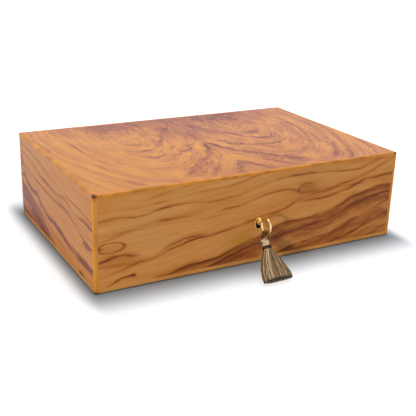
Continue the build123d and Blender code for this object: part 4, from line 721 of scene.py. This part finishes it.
ink, shader, place = finish("dial_ink", Roughness=0.5)
feed(shader, place.noise(1500.0).ramp(((0.3, (0.012, 0.012, 0.014)), (0.75, (0.04, 0.038, 0.036)))))
print_source = new_object("dial_marks", bpy.data.meshes.new("dial_marks"))
marks = bmesh.new()
marks.from_mesh(with_tree(print_source, stroke_tree(), {
    "Strokes": STROKES, "End Radius": STROKE_END, "Length": STROKE_LENGTH, "Long Length": LONG_STROKE_LENGTH,
    "Width": STROKE_WIDTH, "Thickness": INK, "Finish": ink}))
for number in range(0, SCALE_END + 1, NUMBER_STEP):
    figure = bpy.data.curves.new("dial_number", "FONT")
    figure.body = str(number)
    figure.size = NUMBER_HEIGHT
    figure.align_x = "CENTER"
    figure.align_y = "CENTER"
    figure.extrude = INK / 2
    holder = new_object("dial_number", figure)
    angle = (number / SCALE_END - 0.5) * SCALE_SWEEP
    spot = Vector((math.sin(angle) * NUMBER_RADIUS, -math.cos(angle) * NUMBER_RADIUS, -INK / 2))
    spot += Vector((DIAL_CENTRE_X, 0, DIAL_FACE))
    figure_mesh = evaluated_mesh(holder, "dial_number")
    figure_mesh.transform(Matrix.Translation(spot) @ Matrix.Rotation(math.pi, 4, "X"))
    marks.from_mesh(figure_mesh)
    bpy.data.objects.remove(holder)
marks_mesh = settled("dial_marks", marks)
marks_mesh.materials.append(ink)
new_piece("dial_marks", marks_mesh, "lid", smooth=False)

# Tassel cord: a two-ply cord of dark brown silk with flecks of gold, taken one and a half
# times round the lowest bar of the key's bow. Both ends go into the tassel's head.
BOW_Y = -0.1345
CORD_AXIS_Z = 0.0378
CORD_TURN = 0.0026
CORD_PITCH = 0.0023
CORD_HALF_TURNS = 3
CORD_END_Z = 0.0316
LEG_POINTS = 3
LEG_STEP = 0.0021
STEPS_IN_HALF_TURN = 8
PLIES = 2
PLY_SIDES = 8
DARK_SILK = (0.012, 0.005, 0.002)


def cord_leg(side):
    """The cord's points from the tassel's head up to one side of its turns."""
    across = side * CORD_TURN
    along = BOW_Y - side * CORD_HALF_TURNS * CORD_PITCH / 4
    return [Vector((across, along, CORD_END_Z + step * LEG_STEP)) for step in range(LEG_POINTS)]


cord_route = cord_leg(-1)
for step in range(CORD_HALF_TURNS * STEPS_IN_HALF_TURN + 1):
    half_turns = step / STEPS_IN_HALF_TURN
    turned = math.pi * (1 - half_turns)
    cord_route.append(Vector((
        CORD_TURN * math.cos(turned),
        BOW_Y + (CORD_HALF_TURNS / 2 - half_turns) * CORD_PITCH / 2,
        CORD_AXIS_Z + CORD_TURN * math.sin(turned),
    )))
cord_route += reversed(cord_leg(1))


def route_curve(name, points):
    """A smooth open spline with the points of a route."""
    data = bpy.data.curves.new(name, "CURVE")
    data.dimensions = "3D"
    data.resolution_u = 6
    spline = data.splines.new("NURBS")
    spline.points.add(len(points) - 1)
    for point, spot in zip(spline.points, points):
        point.co = (*spot, 1)
    spline.order_u = 3
    spline.use_endpoint_u = True
    return new_object(name, data)


def twist_tree():
    """A node tree that lays plies round a curve, like a cord."""
    given, close = new_tree("twisted_cord", {
        "Route": "Geometry", "Ply Radius": "Float", "Ply Offset": "Float", "Twists": "Float",
        "Plies": "Int", "Steps": "Int", "Finish": "Material"}, "Cord")
    route = given["Route"]
    line = route.node("GeometryNodeResampleCurve", {"Curve": route, "Count": given["Steps"]})
    tilt = route.node("GeometryNodeSplineParameter") * given["Twists"] * math.tau
    line = route.node("GeometryNodeSetCurveTilt", {"Curve": line, "Tilt": tilt})
    round_ply = route.node("GeometryNodeCurvePrimitiveCircle",
                           {"Resolution": PLY_SIDES, "Radius": given["Ply Radius"]})
    angle = route.node("GeometryNodeInputIndex") * (math.tau / given["Plies"])
    seat = join(angle.math("COSINE") * given["Ply Offset"], angle.math("SINE") * given["Ply Offset"], 0.0)
    ring = route.node("GeometryNodePoints", {"Count": given["Plies"], "Position": seat})
    plies = route.node("GeometryNodeInstanceOnPoints", {"Points": ring, "Instance": round_ply})
    plies = route.node("GeometryNodeRealizeInstances", {"Geometry": plies})
    return close(route.node("GeometryNodeCurveToMesh",
                            {"Curve": line, "Profile Curve": plies, "Fill Caps": True}))


def silk(name, dark, light, fineness):
    """Silk yarn: fine fibres with a sheen, in two shades."""
    made, shader, place = finish(name, Roughness=0.55, Sheen_Weight=0.05, Specular_IOR_Level=0.2)
    fibres = place.noise(fineness, 3.0, 0.7)
    patches = place.noise(fineness * 0.2, 1.0)
    feed(shader, (fibres * 0.6 + patches * 0.4).ramp(((0.35, dark), (0.62, light))))
    relief(shader, fibres, 0.0002, 0.7)
    return made


def twisted_piece(name, line, body, yarn, ply, twists, steps):
    """A piece of plies, each of a (radius, offset), twisted round a line."""
    mesh = with_tree(line, twisted, {
        "Ply Radius": ply[0], "Ply Offset": ply[1], "Twists": twists, "Plies": PLIES, "Steps": steps,
        "Finish": yarn})
    return new_piece(name, mesh, body)


twisted = twist_tree()
cord_silk = silk("tassel_cord_silk", DARK_SILK, (0.34, 0.18, 0.05), 420.0)
cord_line = route_curve("tassel_cord_route", cord_route)
cord_points = [vertex.co.copy() for vertex in evaluated_mesh(cord_line, "tassel_cord_route").vertices]
cord = twisted_piece("tassel_cord_twisted", cord_line, "cord_loop", cord_silk,
                     ply=(0.00068, 0.0006), twists=10.0, steps=200)
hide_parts("tassel_cord")

# Tassel head: a bead wound over with cream silk that runs down over the neck. The
# fine ridges are the yarns, laid side by side from the top of the bead.
head_low, head_high = (Vector(corner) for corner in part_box("tassel_head"))
HEAD_RADIUS = (head_high.x - head_low.x) / 2
HEAD_CENTRE = Vector((0, head_high.y - HEAD_RADIUS, head_high.z - HEAD_RADIUS))
LEAN = math.radians(38.0)
LEAN_DIRECTION = Vector((0, -math.sin(LEAN), -math.cos(LEAN)))
HEAD_STEPS = 20
NECK_RADIUS = 0.0036
NECK_STATIONS = (0.0034, 0.0042, 0.0056, 0.007, 0.0084, 0.009)
YARNS = 26
YARN_STEPS = 6
YARN_DEPTH = 0.045


def turned_yarn(name, profile, centre, axis):
    """A turned form with a ridge for each yarn, from a profile of (along, radius)."""
    side = axis.orthogonal().normalized()
    other = axis.cross(side)
    mesh = bmesh.new()
    count = YARNS * YARN_STEPS
    rings = []
    for distance, radius in profile:
        ring = []
        for step in range(count):
            angle = math.tau * step / count
            ridge = abs(math.sin(angle * YARNS / 2))
            reach = radius * (1 - YARN_DEPTH * (1 - ridge))
            spot = centre + axis * distance + (side * math.cos(angle) + other * math.sin(angle)) * reach
            ring.append(mesh.verts.new(spot))
        rings.append(ring)
    for low, high in zip(rings, rings[1:]):
        for step in range(count):
            after = (step + 1) % count
            mesh.faces.new((low[step], low[after], high[after], high[step]))
    mesh.faces.new(reversed(rings[0]))
    mesh.faces.new(rings[-1])
    bmesh.ops.recalc_face_normals(mesh, faces=mesh.faces)
    return settled(name, mesh)


head_profile = []
for step in range(1, HEAD_STEPS - 1):
    angle = math.pi * step / HEAD_STEPS
    distance = -HEAD_RADIUS * math.cos(angle)
    radius = HEAD_RADIUS * math.sin(angle)
    if distance < 0 or radius > NECK_RADIUS:
        head_profile.append((distance, radius))
head_profile += [(distance, NECK_RADIUS) for distance in NECK_STATIONS]
head_mesh = turned_yarn("tassel_head_wound", head_profile, HEAD_CENTRE, LEAN_DIRECTION)
head_mesh.materials.append(silk("tassel_head_silk", (0.62, 0.43, 0.23), (0.95, 0.8, 0.54), 900.0))
head = new_piece("tassel_head_wound", head_mesh, "tassel")
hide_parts("tassel_head")

# Binding: a dark twisted thread wound twice round the neck below the bead, which holds
# the skirt's yarns.
BINDING_TURN = 0.0042
BINDING_PITCH = 0.0017
BINDING_START = 0.0047
BINDING_TURNS = 2
BINDING_STEPS = 16

binding_side = Vector((1, 0, 0))
binding_up = LEAN_DIRECTION.cross(binding_side)
binding_route = []
for step in range(BINDING_TURNS * BINDING_STEPS + 1):
    turned = math.pi - math.tau * step / BINDING_STEPS
    binding_route.append(
        HEAD_CENTRE + LEAN_DIRECTION * (BINDING_START + BINDING_PITCH * step / BINDING_STEPS)
        + (binding_side * math.cos(turned) + binding_up * math.sin(turned)) * BINDING_TURN
    )
binding_silk = silk("tassel_binding_silk", DARK_SILK, (0.1, 0.045, 0.012), 700.0)
binding_line = route_curve("tassel_binding_route", binding_route)
binding = twisted_piece("tassel_binding_wound", binding_line, "tassel", binding_silk,
                        ply=(0.0005, 0.00042), twists=18.0, steps=260)
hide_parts("tassel_binding")

# Skirt: several hundred silk yarns held by the binding. They lean out from the key,
# spread as they fall, and the lowest ones rest on the table. Their tips are painted near
# black: painted shade under the skirt's end where it meets the table.
SKIRT_END = Vector((-7.9, -174.5, 4.2)) * MM
SKIRT_END_LEAN = math.radians(60.0)
SKIRT_END_DRIFT = math.radians(8.0)
SKIRT_START_HALF = 0.0051
SKIRT_END_HALF = 0.0168
SKIRT_END_THICK = 0.0032
SKIRT_FLARE = 2.1
NECK_LENGTH = 0.009
YARN_COUNT = 640
YARN_POINTS = 14
YARN_SIDES = 5
YARN_RADIUS = 0.00038
SHORTEST_YARN = 0.965
WAVES = 11.0
WAVINESS = 0.0005
GOLDEN_ANGLE = 2.39996
TIP_SHADE_START_Y = -0.172
TIP_SHADE_END_Y = -0.1749

neck_end = HEAD_CENTRE + LEAN_DIRECTION * NECK_LENGTH
skirt_pull = (SKIRT_END - neck_end).length
out = math.sin(SKIRT_END_LEAN)
end_direction = Vector((
    -out * math.sin(SKIRT_END_DRIFT),
    -out * math.cos(SKIRT_END_DRIFT),
    -math.cos(SKIRT_END_LEAN),
))


def skirt_tree():
    """A node tree that hangs yarns from the neck to the skirt's end."""
    given, close = new_tree("tassel_yarns", {
        "Geometry": "Geometry", "Yarns": "Int", "Points": "Int", "Yarn Radius": "Float",
        "Waviness": "Float", "Finish": "Material"}, "Skirt")
    start = given["Yarns"]
    roots = start.node("GeometryNodePoints", {"Count": start, "Position": (0, 0, 0)})
    roots = start.node("GeometryNodeStoreNamedAttribute", {
        "Geometry": roots, "Name": "yarn", "Value": start.node("GeometryNodeInputIndex")},
        data_type="FLOAT", domain="POINT")
    straight = start.node("GeometryNodeCurvePrimitiveLine")
    straight = start.node("GeometryNodeResampleCurve", {"Curve": straight, "Count": given["Points"]})
    yarns = start.node("GeometryNodeInstanceOnPoints", {"Points": roots, "Instance": straight})
    yarns = start.node("GeometryNodeRealizeInstances", {"Geometry": yarns})
    yarn = start.node("GeometryNodeInputNamedAttribute", {"Name": "yarn"}, data_type="FLOAT")

    def drawn(low, high, seed):
        """A random value for each yarn."""
        values = {"Min": low, "Max": high, "ID": yarn, "Seed": seed}
        return start.node("FunctionNodeRandomValue", values, 1, data_type="FLOAT")

    length_share = drawn(SHORTEST_YARN, 1.0, 4)
    wave_start = drawn(0.0, 6.28, 9)
    reach = ((yarn + 0.5) / given["Yarns"]).math("SQRT")
    turned = yarn * GOLDEN_ANGLE
    share = start.node("GeometryNodeSplineParameter") * length_share
    square = share * share
    cube = square * share
    weights = (
        (neck_end, cube * 2.0 - square * 3.0 + 1.0),
        (LEAN_DIRECTION * skirt_pull, cube - square * 2.0 + share),
        (SKIRT_END, square * 3.0 - cube * 2.0),
        (end_direction * skirt_pull, cube - square),
    )
    middle = [sum(weight * pull[axis] for pull, weight in weights) for axis in range(3)]
    flare = 1.0 - (1.0 - share) ** SKIRT_FLARE
    half_width = flare * (SKIRT_END_HALF - SKIRT_START_HALF) + SKIRT_START_HALF
    half_thick = share * (SKIRT_END_THICK - SKIRT_START_HALF) + SKIRT_START_HALF
    wave = (share * WAVES + wave_start).math("SINE") * given["Waviness"] * share
    sideways = reach * turned.math("COSINE") * half_width + wave
    lean_now = share * (SKIRT_END_LEAN - LEAN) + LEAN
    outward = reach * turned.math("SINE") * half_thick + wave * 0.4
    spot = join(
        middle[0] + sideways,
        middle[1] - outward * lean_now.math("COSINE"),
        (middle[2] + outward * lean_now.math("SINE")).math("MAXIMUM", YARN_RADIUS),
    )
    yarns = start.node("GeometryNodeSetPosition", {"Geometry": yarns, "Position": spot})
    round_yarn = start.node("GeometryNodeCurvePrimitiveCircle",
                            {"Resolution": YARN_SIDES, "Radius": given["Yarn Radius"]})
    return close(start.node("GeometryNodeCurveToMesh",
                            {"Curve": yarns, "Profile Curve": round_yarn, "Fill Caps": True}))


skirt_silk, shader, place = finish("tassel_yarn_silk", Roughness=0.45, Sheen_Weight=0.08,
                                   Sheen_Roughness=0.35, Specular_IOR_Level=0.35)
_, y, _ = place.axes()
yarn_number = place.node("ShaderNodeAttribute", None, 2, attribute_name="yarn")
shade = join(yarn_number * 0.37, yarn_number * 0.11, 0.5).noise(1.0, 0.0)
fibres = place.noise(1100.0, 3.0, 0.7)
yarn_colour = (shade * 0.8 + fibres * 0.2).ramp((
    (0.36, (0.11, 0.062, 0.024)), (0.5, (0.34, 0.21, 0.092)), (0.68, (0.8, 0.58, 0.34))))
# Painted shade: the yarns' tips darken nearly to black.
painted_tip_shade = (y + fibres * 0.0012).smooth(TIP_SHADE_END_Y, TIP_SHADE_START_Y, 0.96, 0.0)
feed(shader, yarn_colour.tint((0.02, 0.012, 0.006), painted_tip_shade))
relief(shader, fibres, 0.0002, 0.6)
yarn_source = new_object("tassel_skirt_yarns", bpy.data.meshes.new("tassel_skirt_yarns"))
skirt_mesh = with_tree(yarn_source, skirt_tree(), {
    "Yarns": YARN_COUNT, "Points": YARN_POINTS, "Yarn Radius": YARN_RADIUS, "Waviness": WAVINESS,
    "Finish": skirt_silk})
skirt = new_piece("tassel_skirt_yarns", skirt_mesh, "tassel")
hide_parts("tassel_skirt")

# Tail: the cord's end stands out beside the head and is tied in a small knot. The knot
# is most of one round of a trefoil.
TAIL_START = HEAD_CENTRE + Vector((-4.0, 0.0, 0.0)) * MM
KNOT_CENTRE = Vector((-7.6, -137.2, 28.6)) * MM
KNOT_RADIUS = 0.00115
KNOT_STEPS = 36
KNOT_ROUND = 0.93
KNOT_START = 0.5

tail_route = [TAIL_START + Vector(step) * MM for step in ((0, 0, 0), (-0.9, -0.4, 0.1), (-1.6, -1.2, 0.1))]
for step in range(KNOT_STEPS + 1):
    turned = math.tau * step / KNOT_STEPS * KNOT_ROUND + KNOT_START
    tail_route.append(KNOT_CENTRE + Vector((
        (math.sin(turned) + 2 * math.sin(2 * turned)) * 0.33,
        (math.cos(turned) - 2 * math.cos(2 * turned)) * 0.33,
        -math.sin(3 * turned) * 0.55,
    )) * KNOT_RADIUS)
tail_line = route_curve("tassel_tail_route", tail_route)
tail = twisted_piece("tassel_tail_knotted", tail_line, "tassel", cord_silk,
                     ply=(0.0005, 0.0004), twists=6.0, steps=160)
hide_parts("tassel_tail")

# Table: a plain pale table top. Close to the box it shows its own shade, and further off
# it glows more and more towards plain white for the camera, gloss and glass. Its weak glow
# near the box leaves a painted shadow round the box.
TABLE_HALF = 12.0
SIDE_NARROWING = 2.6


def looked_at(tree):
    """One for rays from the camera, also by way of gloss or glass, and zero for others."""
    rays = tree.nodes.new("ShaderNodeLightPath")
    kinds = ("Is Camera Ray", "Is Glossy Ray", "Is Transmission Ray")
    return sum(Socket(tree, rays.outputs[kind]) for kind in kinds).math("MINIMUM", 1.0)


table_form = bmesh.new()
bmesh.ops.create_grid(table_form, x_segments=1, y_segments=1, size=TABLE_HALF)
table_mesh = settled("table_top", table_form)
floor = new_object("table_top", table_mesh)
pale, shader, place = finish("table_top", Roughness=0.7, Specular_IOR_Level=0.2)
x, y, _ = place.axes()
feed(shader, place.noise(3.0).ramp(((0.0, (0.334, 0.394, 0.438)), (1.0, (0.342, 0.402, 0.446)))))
beside_x = (abs(x) - HALF_LENGTH).math("MAXIMUM", 0.0) * SIDE_NARROWING
beside_y = (abs(y) - HALF_DEPTH).math("MAXIMUM", 0.0)
beside = (beside_x * beside_x + beside_y * beside_y).math("SQRT")
# Painted shadow: the glow is weakest beside the box and grows with distance from it.
glow_past_painted_shadow = beside.smooth(-0.001, 0.056, 0.0, 0.78) + beside.smooth(0.06, 0.9, 0.0, 0.5)
lit = place.node("ShaderNodeEmission", {"Color": join(glow_past_painted_shadow, glow_past_painted_shadow * 0.955, glow_past_painted_shadow * 0.935)})
plain = Socket(pale.node_tree, shader.outputs[0])
lifted = place.node("ShaderNodeAddShader", {0: plain, 1: lit})
shown = place.node("ShaderNodeMixShader", {0: looked_at(pale.node_tree), 1: plain, 2: lifted})
pale.node_tree.links.new(shown.output, pale.node_tree.nodes["Material Output"].inputs["Surface"])
table_mesh.materials.append(pale)
floor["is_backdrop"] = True

# Light: even studio light from soft lamps and a white backdrop. The main lamp stands to
# the left, so the key throws its shadow to the right. A weak one beside it gives gloss.
MAIN_SPOT = (-1.92, -1.32, 0.42)
BACKDROP_LIGHT = 0.18


def lamp(name, spot, aim, size, power, mirrored=True):
    """A square soft lamp that stands at a spot, is aimed at another, and may show in gloss."""
    data = bpy.data.lights.new(name, "AREA")
    data.shape = "SQUARE"
    data.size = size
    data.energy = power
    made = new_object(name, data)
    made.location = spot
    made.rotation_euler = (Vector(aim) - Vector(spot)).to_track_quat("-Z", "Y").to_euler()
    made.visible_glossy = mirrored


lamp("main_lamp", MAIN_SPOT, (0, 0, 0.05), 0.2, 20.5, mirrored=False)
lamp("glint_lamp", MAIN_SPOT, (0, 0, 0.05), 0.2, 1.5)
lamp("top_lamp", (0.1, 0.2, 1.9), (0, 0, 0.1), 1.6, 24.0)
lamp("right_lamp", (1.6, -1.2, 0.9), (0, 0, 0.05), 1.4, 9.5)

world = bpy.data.worlds.new("studio")
bpy.context.scene.world = world
world.use_nodes = True
world.node_tree.nodes.clear()
white = looked_at(world.node_tree) * (1.0 - BACKDROP_LIGHT) + BACKDROP_LIGHT
backdrop = white.node("ShaderNodeBackground", {"Color": (1, 1, 1, 1), "Strength": white})
outlet = world.node_tree.nodes.new("ShaderNodeOutputWorld")
world.node_tree.links.new(backdrop.output, outlet.inputs["Surface"])
bpy.context.scene.view_settings.view_transform = "Standard"

visual_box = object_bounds()
plain = [[[float(value) for value in corner] for corner in box] for box in (cad_box, visual_box)]
